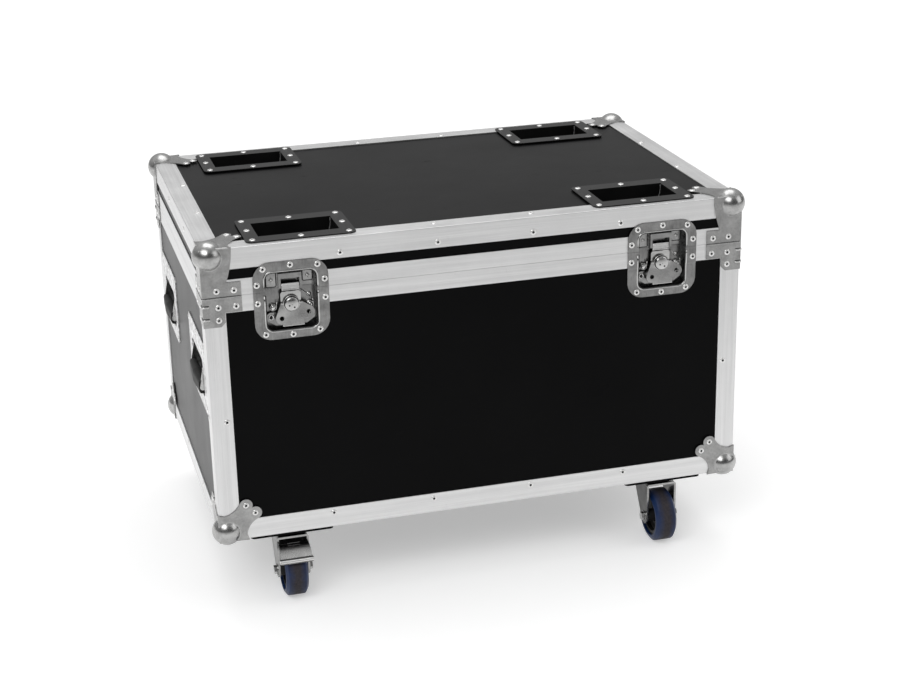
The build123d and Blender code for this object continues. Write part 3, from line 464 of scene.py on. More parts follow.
brushed_ring = aluminium("brushed_aluminium_ring")
brushed_post = aluminium("brushed_aluminium_post", posts=True)
black_laminate = laminate("black_laminate")
zinc_sheet = zinc("zinc_sheet", tone=0.33, rough=0.28)
# A copy of the plate's zinc with the corner balls brightened as a painted highlight
ball_zinc = zinc("ball_zinc", tone=0.33, rough=0.26, shade=ball_painted_highlight)
# The latch pans' zinc, with painted shade on their walls and floors
zinc_pan = zinc("zinc_pan", tone=0.235, rough=0.24, streak_scale=streaks_z, shade=pan_painted_shade)
# Brighter zinc of the springs, eyes and wing feet, and painted highlights on ribs, folded edges, knob rings
# and hook rims
bead_zinc = zinc("bead_zinc", tone=0.66, rough=0.18)
# A brighter zinc for the painted highlights on the pans' beads and along the braces' top edges
pan_edge = zinc("pan_edge", tone=0.50, rough=0.14)
hook_zinc = zinc("hook_zinc", tone=0.48, rough=0.20, mottle=0.05, streak_scale=streaks_x)
keeper_zinc = zinc("keeper_zinc", tone=0.27, rough=0.20, mottle=0.05, streak_scale=streaks_x)
axle_zinc = zinc("axle_zinc", tone=0.62, rough=0.20, mottle=0.08)
knob_zinc = zinc("knob_zinc", tone=0.54, rough=0.16, mottle=0.05)
zinc_latch = zinc("zinc_latch", tone=0.56, rough=0.20, mottle=0.05, streak_scale=streaks_x)
# The castor forks' zinc, with a painted dark reflection on their cheeks
bright_fork = zinc(
    "bright_fork", tone=0.36, rough=0.15, mottle=0.07, streak_scale=streaks_y_fork, shade=cheek_painted_dark_reflection
)
# The brake pedals' zinc, with painted shade at the heel and a painted highlight towards the toe
bright_pedal = zinc(
    "bright_pedal", tone=0.52, rough=0.26, mottle=0.05, streak_scale=streaks_x_pedal, shade=pedal_painted_light
)
# Bright finish of the rivets, also used as painted highlight on the hooks' rolls, the pads' crosses and the
# pedals' lips
rivet_steel = zinc("rivet_steel", tone=0.86, rough=0.34, mottle=0.05)
# Near-black for painted shade: the hollows of rivets and eyes, dimples, and thin lines of painted shadow
# along gaps and edges
rivet_core = matt("rivet_core", tone=0.006)
# A grey for the painted highlight lines along the stacking dishes' edges
dish_edge_highlight_grey = matt("worn_black_edge", tone=0.22)
wheel_nylon = nylon("wheel_nylon")

# Looks of the CAD nodes: each takes the first look whose words are in its name
node_looks = {
    "base_edge_angles": brushed_post,
    "_edge_angles": brushed_ring,
    "_rim_profile": brushed_ring,
    "_ball_corners": ball_zinc,
    "_corner_braces": zinc_sheet,
    "_latch_dishes": zinc_pan,
    "latch_keepers": keeper_zinc,
    "latch_padlock_plates": keeper_zinc,
    "latch_spindle": knob_zinc,
    "latch_hook": hook_zinc,
    "latch_": zinc_latch,
    "handle_dishes": speckled_zinc("speckled_zinc"),
    "handle_bail": zinc_latch,
    "handle_grip": matt("grip_rubber", tone=0.010),
    "stacking_dishes": powder_coat("black_powder_coat"),
    "hinge_leaves": zinc_sheet,
    "hinge_pins": zinc_latch,
    "castor_plates": bright_fork,
    "castor_fork": bright_fork,
    "castor_axle": axle_zinc,
    "castor_wheel": wheel_nylon,
    "castor_tyre": tyre("tyre_rubber"),
    "brake_pedal": bright_pedal,
    "castor_boards": black_laminate,
    "_panel": black_laminate,
}
for name, item in nodes.items():
    look = next(value for words, value in node_looks.items() if words in name)
    if not item.material_slots:
        item.data.materials.append(look)
    for place in item.material_slots:
        place.material = look


# Mesh helpers

front = (0, -1, 0)
rear = (0, 1, 0)
right = (1, 0, 0)
top = (0, 0, 1)
corners = ((-1, -1), (-1, 1), (1, -1), (1, 1))
near_parallel = 0.01
bar_tip = 1 * MM


def scaled(pairs):
    """Pairs of millimetres, in metres."""
    return [(first * MM, second * MM) for first, second in pairs]


def facing(normal, up=top):
    """A rotation whose local Z is normal, and local Y as near as it can be to up."""
    out = Vector(normal).normalized()
    side = Vector(up).cross(out)
    if side.length < near_parallel:
        side = Vector((1, 0, 0))
    side.normalize()
    return Matrix((side, out.cross(side), out)).transposed()


def join_rings(mesh, near, far):
    """Smooth faces between two rings of vertices, or from a ring to a single vertex."""
    faces = []
    for number in range(len(near)):
        after = (number + 1) % len(near)
        ends = [far[0]] if len(far) == 1 else [far[after], far[number]]
        face = mesh.faces.new([near[number], near[after]] + ends)
        face.smooth = True
        faces.append(face)
    return faces


def lathe(mesh, place, turn, profile, count, looks=()):
    """Adds a turned piece: profile is a list of (radius, height) from its rim to its middle."""
    rings = []
    for radius, height in profile:
        ring = []
        for number in range(1 if radius == 0 else count):
            angle = 2 * math.pi * number / count
            offset = Vector((radius * math.cos(angle), radius * math.sin(angle), height))
            ring.append(mesh.verts.new(Vector(place) + turn @ offset))
        rings.append(ring)
    for step in range(len(rings) - 1):
        for face in join_rings(mesh, rings[step], rings[step + 1]):
            face.material_index = looks[step] if looks else 0


def tube(mesh, path, radius, count=10, closed=False, flat=1.0, up=top):
    """Adds a round bar along a list of points; flat squeezes it along up."""
    points = [Vector(point) for point in path]
    total = len(points)
    rings = []
    for number, point in enumerate(points):
        before = points[number - 1] if closed or number > 0 else point
        after = points[(number + 1) % total] if closed or number < total - 1 else point
        ahead = (after - before).normalized()
        side = ahead.cross(Vector(up))
        if side.length < near_parallel:
            side = ahead.orthogonal()
        side.normalize()
        lift = side.cross(ahead).normalized()
        ring = []
        for step in range(count):
            angle = 2 * math.pi * step / count
            offset = math.cos(angle) * side + flat * math.sin(angle) * lift
            ring.append(mesh.verts.new(point + radius * offset))
        rings.append(ring)
    for number in range(total if closed else total - 1):
        join_rings(mesh, rings[number], rings[(number + 1) % total])
    if not closed:
        mesh.faces.new(list(reversed(rings[0])))
        mesh.faces.new(rings[-1])


def bar(mesh, middle, along, half, radius, count=10, flat=1.0, up=top):
    """Adds a straight bar along a direction, half of it on each side of its middle."""
    steps = (-half, bar_tip - half, 0, half - bar_tip, half)
    path = [Vector(middle) + Vector(along) * step for step in steps]
    tube(mesh, path, radius, count, flat=flat, up=up)


def plate(mesh, place, turn, outline, thick, bevel):
    """Adds a flat plate: outline in the plane, thick along its normal, with a bevelled top edge."""
    centre = sum((Vector((x, y, 0)) for x, y in outline), Vector()) / len(outline)
    rings = []
    for height, shrink in ((0.0, 0.0), (thick - bevel, 0.0), (thick, bevel)):
        ring = []
        for x, y in outline:
            spot = Vector((x, y, 0))
            spot += (centre - spot).normalized() * shrink
            spot.z = height
            ring.append(mesh.verts.new(Vector(place) + turn @ spot))
        rings.append(ring)
    total = len(outline)
    for near, far in zip(rings, rings[1:]):
        for number in range(total):
            after = (number + 1) % total
            mesh.faces.new([near[number], near[after], far[after], far[number]])
    mesh.faces.new(rings[-1])
    mesh.faces.new(list(reversed(rings[0])))


def rounded_outline(half_w, half_h, corner, steps=8):
    """Points round a rectangle with round corners, from the middle of its right side."""
    points = [(half_w, 0.0)]
    for cx, cy, start in ((1, 1, 0), (-1, 1, 90), (-1, -1, 180), (1, -1, 270)):
        for step in range(steps + 1):
            angle = math.radians(start + 90 * step / steps)
            points.append((cx * (half_w - corner) + corner * math.cos(angle),
                           cy * (half_h - corner) + corner * math.sin(angle)))
    return points


def finish_piece(mesh, name, body, looks):
    """Turns a mesh into an object that rides on a body."""
    bmesh.ops.recalc_face_normals(mesh, faces=mesh.faces)
    data = bpy.data.meshes.new(name)
    mesh.to_mesh(data)
    mesh.free()
    for look in looks:
        data.materials.append(look)
    item = bpy.data.objects.new(name, data)
    bpy.context.scene.collection.objects.link(item)
    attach(item, body)


# Rivets

rivet_profile = scaled([
    (4.5, -0.3), (4.5, 0.1), (4.2, 0.55), (3.5, 1.0), (2.7, 1.2), (2.1, 1.15),
    (1.75, 0.85), (1.6, 0.3), (0, 0.3),
])
# The rivet's hollow middle takes the second look, near-black painted shade
rivet_looks = [0, 0, 0, 0, 0, 0, 1, 1]

# Places in millimetres: in from an upright edge, and away from the split, the bottom or the other edge
brace_rivets = ((20.3, 14.5), (44.7, 14.3), (20.1, 32.8))
cheek_rivets = ((19.0, 9.0), (43.0, 8.5))
base_ball_rivets = ((39.5, 52.3), (52.3, 39.5))
lid_ball_rivets = ((45.5, 57.5), (57.5, 45.5))

# Places in millimetres, across and up from the middle of a dish
dish_rivets = ((-67.5, 46), (0, 46), (67.5, 46), (67.5, 0), (67.5, -46), (0, -46), (-67.5, -46), (-67.5, 0))
handle_rivets = ((-70, 46), (0, 47), (70, 46), (70, -46), (0, -47), (-70, -46))
latch_lid_rivets = ((-38, 47.4), (0, 50.4), (38, 47.4), (-47.1, 25.3), (47.1, 25.3))
latch_base_rivets = ((-47.1, -1.2), (47.1, -1.2))
latch_low_rivets = ((-38, -47.5), (0, -50.7), (38, -47.5))

# Places in millimetres along the hinges and along the aluminium, which is riveted at uneven steps
hinge_rivets = (-24, 0, 24)
lid_front_steps = (-201, -62, 77, 208)
base_front_steps = (-227, -78, 70, 215)
lid_top_steps = (-207, -62, 79.5, 214)
lid_top_end_steps = (-76, 78)
end_steps = (-100, 62)

# How far the aluminium's rivets lie from the edges and faces of the case
front_reach = 22 * MM
lid_top_reach = 20 * MM
lid_top_end_reach = 24 * MM
lid_end_reach = 15 * MM
base_end_reach = 21 * MM
post_reach = 21.3 * MM
post_rise = 182 * MM
hinge_reach = 14.5 * MM


def rivets(name, body, spots):
    """One object with a pop rivet at each spot, a list of (place, normal)."""
    mesh = bmesh.new()
    for place, normal in spots:
        lathe(mesh, place, facing(normal), rivet_profile, count=18, looks=rivet_looks)
    finish_piece(mesh, name, body, [rivet_steel, rivet_core])


def around(u, height, proud=0.0):
    """The eight places that lie u from an upright edge, on the long and the short sides."""
    spots = []
    for sx, sy in corners:
        spots.append(((sx * (half_width - u), sy * (half_depth + proud), height), (0, sy, 0)))
        spots.append(((sx * (half_width + proud), sy * (half_depth - u), height), (sx, 0, 0)))
    return spots


def on_long_sides(x, z):
    return [((x, sy * half_depth, z), (0, sy, 0)) for sy in (-1, 1)]


def on_ends(y, z):
    return [((sx * half_width, y, z), (sx, 0, 0)) for sx in (-1, 1)]


def on_latches(y, pairs):
    """Places round both latches, at one depth."""
    return [((sx * latch_x + u * MM, y, latch_z + v * MM), front) for sx in (-1, 1) for u, v in pairs]


base_spots = []
lid_spots = []
for u, drop in brace_rivets:
    base_spots += around(u * MM, split_z - drop * MM, sheet)
for u, rise in cheek_rivets:
    lid_spots += around(u * MM, split_z + rise * MM, sheet)
for u, rise in base_ball_rivets:
    base_spots += around(u * MM, case_bottom + rise * MM, sheet)
for sx, sy in corners:
    for u, v in lid_ball_rivets:
        lid_spots.append(((sx * (half_width - u * MM), sy * (half_depth - v * MM), case_top + sheet), top))
    for u, v in dish_rivets:
        lid_spots.append(((sx * dish_x + u * MM, sy * dish_y + v * MM, case_top + sheet), top))
for x in lid_front_steps:
    lid_spots += on_long_sides(x * MM, case_top - front_reach)
for x in base_front_steps:
    base_spots += on_long_sides(x * MM, case_bottom + front_reach)
for x in lid_top_steps:
    for sy in (-1, 1):
        lid_spots.append(((x * MM, sy * (half_depth - lid_top_reach), case_top), top))
for y in lid_top_end_steps:
    for sx in (-1, 1):
        lid_spots.append(((sx * (half_width - lid_top_end_reach), y * MM, case_top), top))
for y in end_steps:
    lid_spots += on_ends(y * MM, case_top - lid_end_reach)
    base_spots += on_ends(y * MM, case_bottom + base_end_reach)
base_spots += around(post_reach, case_bottom + post_rise)
for sx, sy in corners:
    for u, v in handle_rivets:
        base_spots.append(((sx * half_width, sy * handle_y + u * MM, handle_z + v * MM), (sx, 0, 0)))
for sx in (-1, 1):
    for u in hinge_rivets:
        base_spots.append(((sx * hinge_x + u * MM, hinge_face, split_z - hinge_reach), rear))
        lid_spots.append(((sx * hinge_x + u * MM, hinge_face, split_z + hinge_reach), rear))
lid_spots += on_latches(latch_front, latch_lid_rivets)
base_spots += on_latches(latch_front, latch_base_rivets)
base_spots += on_latches(-half_depth, latch_low_rivets)
rivets("rivets_base", "base", base_spots)
rivets("rivets_lid", "lid", lid_spots)


# Ribs pressed into the corner braces in a brighter zinc as a painted highlight, near-black lines of painted
# shadow above them, and bars of painted highlight along the braces' top edges

rib_heights = (split_z - 12.5 * MM, split_z - 31.0 * MM)
rib_reach = 9 * MM
rib_radius = 1.6 * MM
rib_shadow_rise = 1.8 * MM
rib_shadow_radius = 0.7 * MM
lip_height = split_z - 0.9 * MM
lip_reach = 54 * MM
lip_radius = 0.75 * MM
bend_start = 4 * MM
bend_end = 1.6 * MM
bend_cut = 0.35 * MM


def wrapped(mesh, sx, sy, z, reach, radius):
    """A bar bent round an upright edge at a height, reach along each side."""
    edge = Vector((sx * (half_width + sheet), sy * (half_depth + sheet), z))
    steps = (reach, reach - bar_tip, bend_start, bend_end)
    path = [edge - Vector((sx * step, 0, 0)) for step in steps]
    path.append(edge - Vector((sx * bend_cut, sy * bend_cut, 0)))
    path += [edge - Vector((0, sy * step, 0)) for step in reversed(steps)]
    tube(mesh, path, radius)


def brace_trim(name, heights, reach, radius, look):
    """One bar round each brace at each height."""
    mesh = bmesh.new()
    for sx, sy in corners:
        for z in heights:
            wrapped(mesh, sx, sy, z, reach, radius)
    finish_piece(mesh, name, "base", [look])


rib_shadow_heights = [height + rib_shadow_rise for height in rib_heights]
# The ribs' brighter zinc is painted highlight, the dark lines above them painted shadow, and the top-edge
# bars painted highlight
brace_trim("brace_ribs", rib_heights, rib_reach, rib_radius, bead_zinc)
brace_trim("brace_folds", rib_shadow_heights, rib_reach, rib_shadow_radius, rivet_core)
brace_trim("brace_lips", [lip_height], lip_reach, lip_radius, pan_edge)


# Near-black lines of painted shadow where the lid's laminate meets the aluminium of its ends, under the edge
# angles and over the rims

end_shadow_radius = 0.9 * MM
end_shadow_inset = 0.1 * MM
end_shadow_over_rim = 0.6 * MM
end_shadow_under_angle = 2.6 * MM
end_shadow_x = half_width - sheet - end_shadow_inset
rim_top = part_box("lid_rim_profile")[1].z
angle_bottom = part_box("lid_edge_angles")[0].z
mesh = bmesh.new()
for sx in (-1, 1):
    for z in (rim_top + end_shadow_over_rim, angle_bottom - end_shadow_under_angle):
        bar(mesh, (sx * end_shadow_x, 0, z), rear, half_depth - angle_width, end_shadow_radius)
finish_piece(mesh, "lid_seams", "lid", [rivet_core])


# Painted highlight bars along the folded edges of the ball corners

corner_fold_inset = 0.6 * MM
corner_fold_radius = 0.85 * MM
corner_fold_half = 13.25 * MM
corner_fold_middle = 24.25 * MM


def corner_fold_painted_highlights(name, body, z):
    """A painted highlight bar along both sides of each of the four ball corners."""
    proud = sheet - corner_fold_inset
    mesh = bmesh.new()
    for sx, sy in corners:
        on_side = (sx * (half_width - corner_fold_middle), sy * (half_depth + proud), z)
        on_end = (sx * (half_width + proud), sy * (half_depth - corner_fold_middle), z)
        bar(mesh, on_side, right, corner_fold_half, corner_fold_radius)
        bar(mesh, on_end, rear, corner_fold_half, corner_fold_radius)
    finish_piece(mesh, name, body, [bead_zinc])


corner_fold_painted_highlights("lid_corner_folds", "lid", case_top + sheet - corner_fold_inset)
corner_fold_painted_highlights("base_corner_folds", "base", case_bottom - sheet + corner_fold_inset)


# Rolled bead round the mouth of each latch pan, in a brighter zinc as a painted highlight, and a near-black
# line of painted shadow inside it

bead_radius = 1.2 * MM
bead_flat = 0.8
painted_shadow_radius = 0.9 * MM
painted_shadow_inset = 1.7 * MM
painted_shadow_depth = 0.7 * MM
mouth_gap = 0.4 * MM
mouth_steps = 6
mouth = rounded_outline(pan_half_width + bead_radius, pan_half_height + bead_radius, pan_corner + bead_radius)


def pan_face_at(z):
    """The Y of the front of the pan's flange at a height: it steps back below the joggle."""
    share = min(1.0, max(0.0, (joggle_z - z) / joggle_run))
    return latch_front + share * (-half_depth - latch_front)


def mouth_path(x, keep):
    """The part of a pan's mouth on one side of the split: keep is 1 above it and -1 below."""
    fine = []
    for number, (u, v) in enumerate(mouth):
        next_u, next_v = mouth[(number + 1) % len(mouth)]
        for step in range(mouth_steps):
            share = step / mouth_steps
            fine.append((u + share * (next_u - u), v + share * (next_v - v)))
    kept = [keep * (pan_z + v - split_z) > mouth_gap for u, v in fine]
    start = next(i for i in range(len(fine)) if kept[i] and not kept[i - 1])
    path = []
    for i in range(start, start + len(fine)):
        if not kept[i % len(fine)]:
            break
        u, v = fine[i % len(fine)]
        path.append(Vector((x + u, pan_face_at(pan_z + v), pan_z + v)))
    return path


def drawn_in(path, x):
    """The same path, a little inside the mouth and deeper."""
    moved = []
    for point in path:
        outward = Vector((point.x - x, 0, point.z - pan_z)).normalized()
        moved.append(point - outward * painted_shadow_inset + Vector((0, painted_shadow_depth, 0)))
    return moved


for body, keep in (("lid", 1), ("base", -1)):
    bead = bmesh.new()
    painted_shadow = bmesh.new()
    for x in (-latch_x, latch_x):
        path = mouth_path(x, keep)
        tube(bead, path, bead_radius, up=rear, flat=bead_flat)
        tube(painted_shadow, drawn_in(path, x), painted_shadow_radius, count=8, up=rear)
    finish_piece(bead, "pan_bead_" + body, body, [pan_edge])
    finish_piece(painted_shadow, "pan_groove_" + body, body, [rivet_core])


# Small parts of each latch

forward = facing(front)

# Places in millimetres, across and up from the middle of the spindle
dimple_places = ((-3.6, -1.5), (3.2, -4.4))
dimple_profile = scaled([(1.3, -1.1), (1.3, -0.18), (0.9, -0.05), (0, -0.05)])
# A painted highlight round the knob's ring, and a near-black line of painted shadow round its cap
knob_rims = (
    ("knob_rings_", knob_radius, 2.2 * MM, bead_zinc),
    ("knob_grooves_", knob_cap_radius, 1.3 * MM, rivet_core),
)
knob_rim_radius = 0.55 * MM
knob_rim_steps = 40
hook_half = 12 * MM
hook_lip_up = (0, -0.7, 0.7)

# The hook's rolled top and its rim, in bright finishes as painted highlights, and a near-black line of
# painted shadow under them: rise, depth and radius in millimetres, flatness
hook_bars = (
    ("hook_roll_painted_highlight_", 27.0, 5.7, 2.0, 0.35, rivet_steel),
    ("hook_rim_painted_highlight_", 19.6, 5.3, 0.7, 1.0, bead_zinc),
    ("hook_painted_shadow_", 17.6, 5.7, 0.6, 1.0, rivet_core),
)
foot_half = 14.7 * MM
foot_shift = 1 * MM
foot_drop = 31 * MM
foot_radius = 1 * MM


def knob_trim(side, x):
    """Dimples in the knob's cap, painted near-black as painted shade, a painted highlight on the rolled edge
    of its ring and a line of painted shadow round the rolled edge of its cap.
    """
    body = "latch_spindle_" + side
    mesh = bmesh.new()
    for u, v in dimple_places:
        lathe(mesh, (x + u * MM, knob_front, spindle_z + v * MM), forward, dimple_profile, count=12)
    finish_piece(mesh, "knob_pips_" + side, body, [rivet_core])
    for name, radius, depth, look in knob_rims:
        mesh = bmesh.new()
        ring = []
        for step in range(knob_rim_steps):
            angle = 2 * math.pi * step / knob_rim_steps
            across, rise = radius * math.cos(angle), radius * math.sin(angle)
            ring.append((x + across, -half_depth + depth, spindle_z + rise))
        tube(mesh, ring, knob_rim_radius, count=8, closed=True, up=rear)
        finish_piece(mesh, name + side, body, [look])


def hook_bar(name, side, x, rise, depth, radius, flat, look):
    """A bar across the hook's lip."""
    mesh = bmesh.new()
    middle = (x, -half_depth + depth, spindle_z + rise)
    bar(mesh, middle, right, hook_half, radius, count=12, flat=flat, up=hook_lip_up)
    finish_piece(mesh, name, "latch_hook_" + side, [look])


def wing_foot(side, x):
    """Rolled foot of the wing's tab."""
    mesh = bmesh.new()
    hinge = Vector((x + foot_shift, -half_depth + wing_hinge_depth, spindle_z))
    down = Vector((0, -math.sin(wing_tilt), -math.cos(wing_tilt)))
    bar(mesh, hinge + down * foot_drop, right, foot_half, foot_radius)
    finish_piece(mesh, "wing_foot_" + side, "latch_wing_" + side, [bead_zinc])


spring_wire = 0.6 * MM
spring_radius = 4.3 * MM
spring_start = 0.6 * MM
spring_pitch = 1.25 * MM
spring_turns = 4
turn_steps = 16

# Each spring's hand, and the place of its post in millimetres across and up from the middle of the spindle
spring_posts = ((-1, -24.5, -6.0), (1, 27.5, -6.3))

# The last steps of its wire in millimetres: towards the hook, back to front and up
spring_leg = ((-0.3, -0.05, 3.0), (-0.6, 0.0, 5.0))
post_profile = scaled([(2.8, -0.3), (2.8, 5.8), (3.7, 5.8), (3.7, 6.4), (3.0, 7.2), (1.0, 7.5), (0, 7.5)])
stud_place = (26.5 * MM, 7.5 * MM)
stud_profile = scaled([(3.4, -0.3), (3.4, 0.8), (2.8, 1.6), (1.8, 1.9), (0, 2.0)])
hooked_leg = ((-10.5, 8.0), (-7.0, 4.6), (-3.0, 0.8), (1.5, -2.2))
leg_lift = 2.6 * MM


def latch_springs(side, x):
    """Torsion springs on their posts, and the stud that the right one hooks round."""
    mesh = bmesh.new()
    for hand, u, v in spring_posts:
        post = Vector((x + u * MM, pan_floor, spindle_z + v * MM))
        lathe(mesh, post, forward, post_profile, count=20)
        coil = []
        for step in range(spring_turns * turn_steps + 1):
            angle = 2 * math.pi * step / turn_steps
            lift = spring_start + spring_pitch * step / turn_steps
            turned_to = Vector((math.cos(angle), 0, math.sin(angle)))
            coil.append(post + turned_to * spring_radius - Vector((0, lift, 0)))
        for inwards, out, rise in spring_leg:
            coil.append(coil[-1] + Vector((inwards * hand, out, rise)) * MM)
        tube(mesh, coil, spring_wire, count=8, up=rear)
    stud = Vector((x + stud_place[0], pan_floor, spindle_z + stud_place[1]))
    lathe(mesh, stud, forward, stud_profile, count=20)
    leg = [stud + Vector((u * MM, -leg_lift, v * MM)) for u, v in hooked_leg]
    tube(mesh, leg, spring_wire, count=8, up=rear)
    finish_piece(mesh, "latch_springs_" + side, "base", [bead_zinc])


eye_depth = 9 * MM
eye_across = 28 * MM
eye_drop = 20 * MM
eye_profile = scaled([(4.2, -0.3), (4.2, 0.4), (3.6, 0.9), (2.8, 0.7), (2.3, 0.2), (0, 0.2)])
# The eye's hole takes the second look, near-black painted shade
eye_looks = [0, 0, 0, 0, 1]


def padlock_eyes(side, x):
    """Flanged eyes in the lobes of the padlock plate, their holes painted near-black as painted shade."""
    mesh = bmesh.new()
    for across in (-eye_across, eye_across):
        place = (x + across, -half_depth + eye_depth, spindle_z - eye_drop)
        lathe(mesh, place, forward, eye_profile, count=24, looks=eye_looks)
    finish_piece(mesh, "padlock_eyes_" + side, "base", [bead_zinc, rivet_core])


# Places in millimetres, across and up from the middle of the latch, and the pads' half heights
pad_places = ((-25.5, 27, 10.2), (25.5, 29.5, 7.6))
pad_half_width = 6.6 * MM
pad_corner = 1.5 * MM
pad_thick = 0.9 * MM
pad_bevel = 0.35 * MM
pad_line = 0.5 * MM
pad_line_lift = 0.1 * MM
pad_line_radius = 0.75 * MM
pad_corner_steps = 3
cross_reach = 2.8 * MM
cross_radius = 0.9 * MM


def keeper_pads(side, x):
    """Spot-welded pads beside the keeper, each with a raised cross in the bright rivet finish as a painted
    highlight, and a near-black outline of painted shadow.
    """
    pads = bmesh.new()
    crosses = bmesh.new()
    outlines = bmesh.new()
    for u, v, tall in pad_places:
        place = Vector((x + u * MM, pan_floor - sheet, latch_z + v * MM))
        pad = rounded_outline(pad_half_width, tall * MM, pad_corner, pad_corner_steps)
        plate(pads, place, forward, pad, pad_thick, pad_bevel)
        sizes = [size + pad_line for size in (pad_half_width, tall * MM, pad_corner)]
        line = rounded_outline(*sizes, pad_corner_steps)
        edge = [place + Vector((across, -pad_line_lift, rise)) for across, rise in line]
        tube(outlines, edge, pad_line_radius, count=8, closed=True, up=rear)
        middle = place - Vector((0, pad_thick, 0))
        for reach in (Vector((cross_reach, 0, 0)), Vector((0, 0, cross_reach))):
            tube(crosses, [middle - reach, middle + reach], cross_radius, count=8, up=rear)
    finish_piece(pads, "keeper_pads_" + side, "lid", [zinc_sheet])
    # The crosses are painted highlight and the outlines painted shadow
    finish_piece(crosses, "pad_crosses_" + side, "lid", [rivet_steel])
    finish_piece(outlines, "pad_outlines_" + side, "lid", [rivet_core])


for side, x in (("left", -latch_x), ("right", latch_x)):
    knob_trim(side, x)
    for name, rise, depth, radius, flat, look in hook_bars:
        hook_bar(name + side, side, x, rise * MM, depth * MM, radius * MM, flat, look)
    wing_foot(side, x)
    latch_springs(side, x)
    padlock_eyes(side, x)
    keeper_pads(side, x)


# Painted highlight lines, in grey, along the edges where the curved ends of each stacking dish meet its flat
# walls

edge_line_radius = 0.5 * MM
edge_line_inset = 0.2 * MM
edge_line_steps = 8
edge_line_top = case_top - 0.5 * MM
edge_line_run = 3 * MM
curve_z = case_top - dish_depth + dish_curve
mesh = bmesh.new()
for sx, sy in corners:
    for end, wall in corners:
        x = sx * dish_x + end * (dish_end - dish_curve)
        y = sy * dish_y + wall * (dish_side - edge_line_inset)
        path = [(x + end * dish_curve, y, z) for z in (edge_line_top, curve_z + edge_line_run)]
        for step in range(edge_line_steps + 1):
            angle = math.pi / 2 * step / edge_line_steps
            path.append((x + end * dish_curve * math.cos(angle), y, curve_z - dish_curve * math.sin(angle)))
        tube(mesh, path, edge_line_radius, count=8, up=rear)
finish_piece(mesh, "dish_welds", "lid", [dish_edge_highlight_grey])


# Castor nuts with their washers, rims of the races, axle washers and wheel ribs

downward = facing((0, 0, -1), rear)
bolt_x = 40 * MM
bolt_y = 33 * MM
fork_half = 23.5 * MM
hub_half = 4 * MM
plate_washer = scaled([(7.5, -0.2), (7.5, 1.0), (7.1, 1.4), (5.0, 1.4)])
nut_profile = scaled([(6.4, 1.3), (6.4, 3.6), (5.7, 4.2), (3.4, 4.2), (3.4, 4.8), (2.8, 5.2), (0, 5.2)])
race_rim = scaled([(24.5, 0.4), (28.2, 0.3), (29.4, 0.9), (29.6, 2.4), (28.6, 3.4), (26.5, 3.7), (24.5, 3.4)])
axle_washer = scaled([(8.6, -0.3), (8.6, 0.5), (8.2, 0.9), (6.0, 0.9)])
rib_profile = scaled([
    (24.0, 0.0), (24.0, 3.2), (22.6, 3.4), (21.6, 0.4), (14.0, 0.2), (13.0, 3.2), (11.6, 3.4), (11.2, 0.0)
])

mesh = bmesh.new()
for sx, sy in corners:
    for u in (-bolt_x, bolt_x):
        for v in (-bolt_y, bolt_y):
            place = (sx * castor_x + u, sy * castor_y + v, plate_low)
            lathe(mesh, place, downward, plate_washer, count=24)
            lathe(mesh, place, downward, nut_profile, count=6)
finish_piece(mesh, "castor_nuts", "base", [zinc_latch])

# The pedal's trim: lead is in front of the axle and rise is above it
pedal_lip_lead = 37.9 * MM
pedal_lip_rise = 29.4 * MM
pedal_lip_half = 24.8 * MM
pedal_lip_radius = 2.8 * MM
pedal_lip_flat = 0.7
pedal_lip_up = (0, -0.60, 0.80)
# The near-black line of painted shadow above the lip
pedal_shadow_lead = 36.9 * MM
pedal_shadow_rise = 32.3 * MM
pedal_shadow_half = 24.4 * MM
pedal_shadow_radius = 0.6 * MM
pedal_ribs = scaled([(16.5, 47.6), (20.5, 45.6)])
pedal_rib_half = 9 * MM
pedal_rib_radius = 0.5 * MM


def both_faces(mesh, x, y, half, profile, count):
    """The same turned piece on each side of an axle's middle, facing outwards."""
    for sign in (-1, 1):
        lathe(mesh, (x + sign * half, y, axle_z), facing((sign, 0, 0)), profile, count)


def pedal_trim(name, x, y):
    """The rolled lip of a brake pedal in the bright rivet finish as a painted highlight, a near-black line of
    painted shadow above it, and two pressed ribs.
    """
    body = "pedal_" + name
    mesh = bmesh.new()
    lip_place = (x, y - pedal_lip_lead, axle_z + pedal_lip_rise)
    bar(mesh, lip_place, right, pedal_lip_half, pedal_lip_radius, 16, pedal_lip_flat, pedal_lip_up)
    finish_piece(mesh, "pedal_lip_" + name, body, [rivet_steel])
    mesh = bmesh.new()
    shadow_place = (x, y - pedal_shadow_lead, axle_z + pedal_shadow_rise)
    bar(mesh, shadow_place, right, pedal_shadow_half, pedal_shadow_radius, count=8)
    finish_piece(mesh, "pedal_fold_" + name, body, [rivet_core])
    mesh = bmesh.new()
    for lead, rise in pedal_ribs:
        bar(mesh, (x, y - lead, axle_z + rise), right, pedal_rib_half, pedal_rib_radius, count=8)
    finish_piece(mesh, "pedal_ribs_" + name, body, [zinc_sheet])


castor_corners = {"front_left": (-1, -1), "front_right": (1, -1), "rear_left": (-1, 1), "rear_right": (1, 1)}
for name, (sx, sy) in castor_corners.items():
    x = sx * castor_x
    swivel_y = sy * castor_y
    wheel_y = swivel_y - trail
    mesh = bmesh.new()
    lathe(mesh, (x, swivel_y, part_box("castor_fork_" + name)[1].z), downward, race_rim, count=48)
    both_faces(mesh, x, wheel_y, fork_half, axle_washer, count=28)
    finish_piece(mesh, "fork_trim_" + name, "castor_" + name, [bright_fork])
    mesh = bmesh.new()
    both_faces(mesh, x, wheel_y, hub_half, rib_profile, count=40)
    finish_piece(mesh, "wheel_ribs_" + name, "wheel_" + name, [wheel_nylon])
    if "brake_pedal_" + name in nodes:
        pedal_trim(name, x, wheel_y)


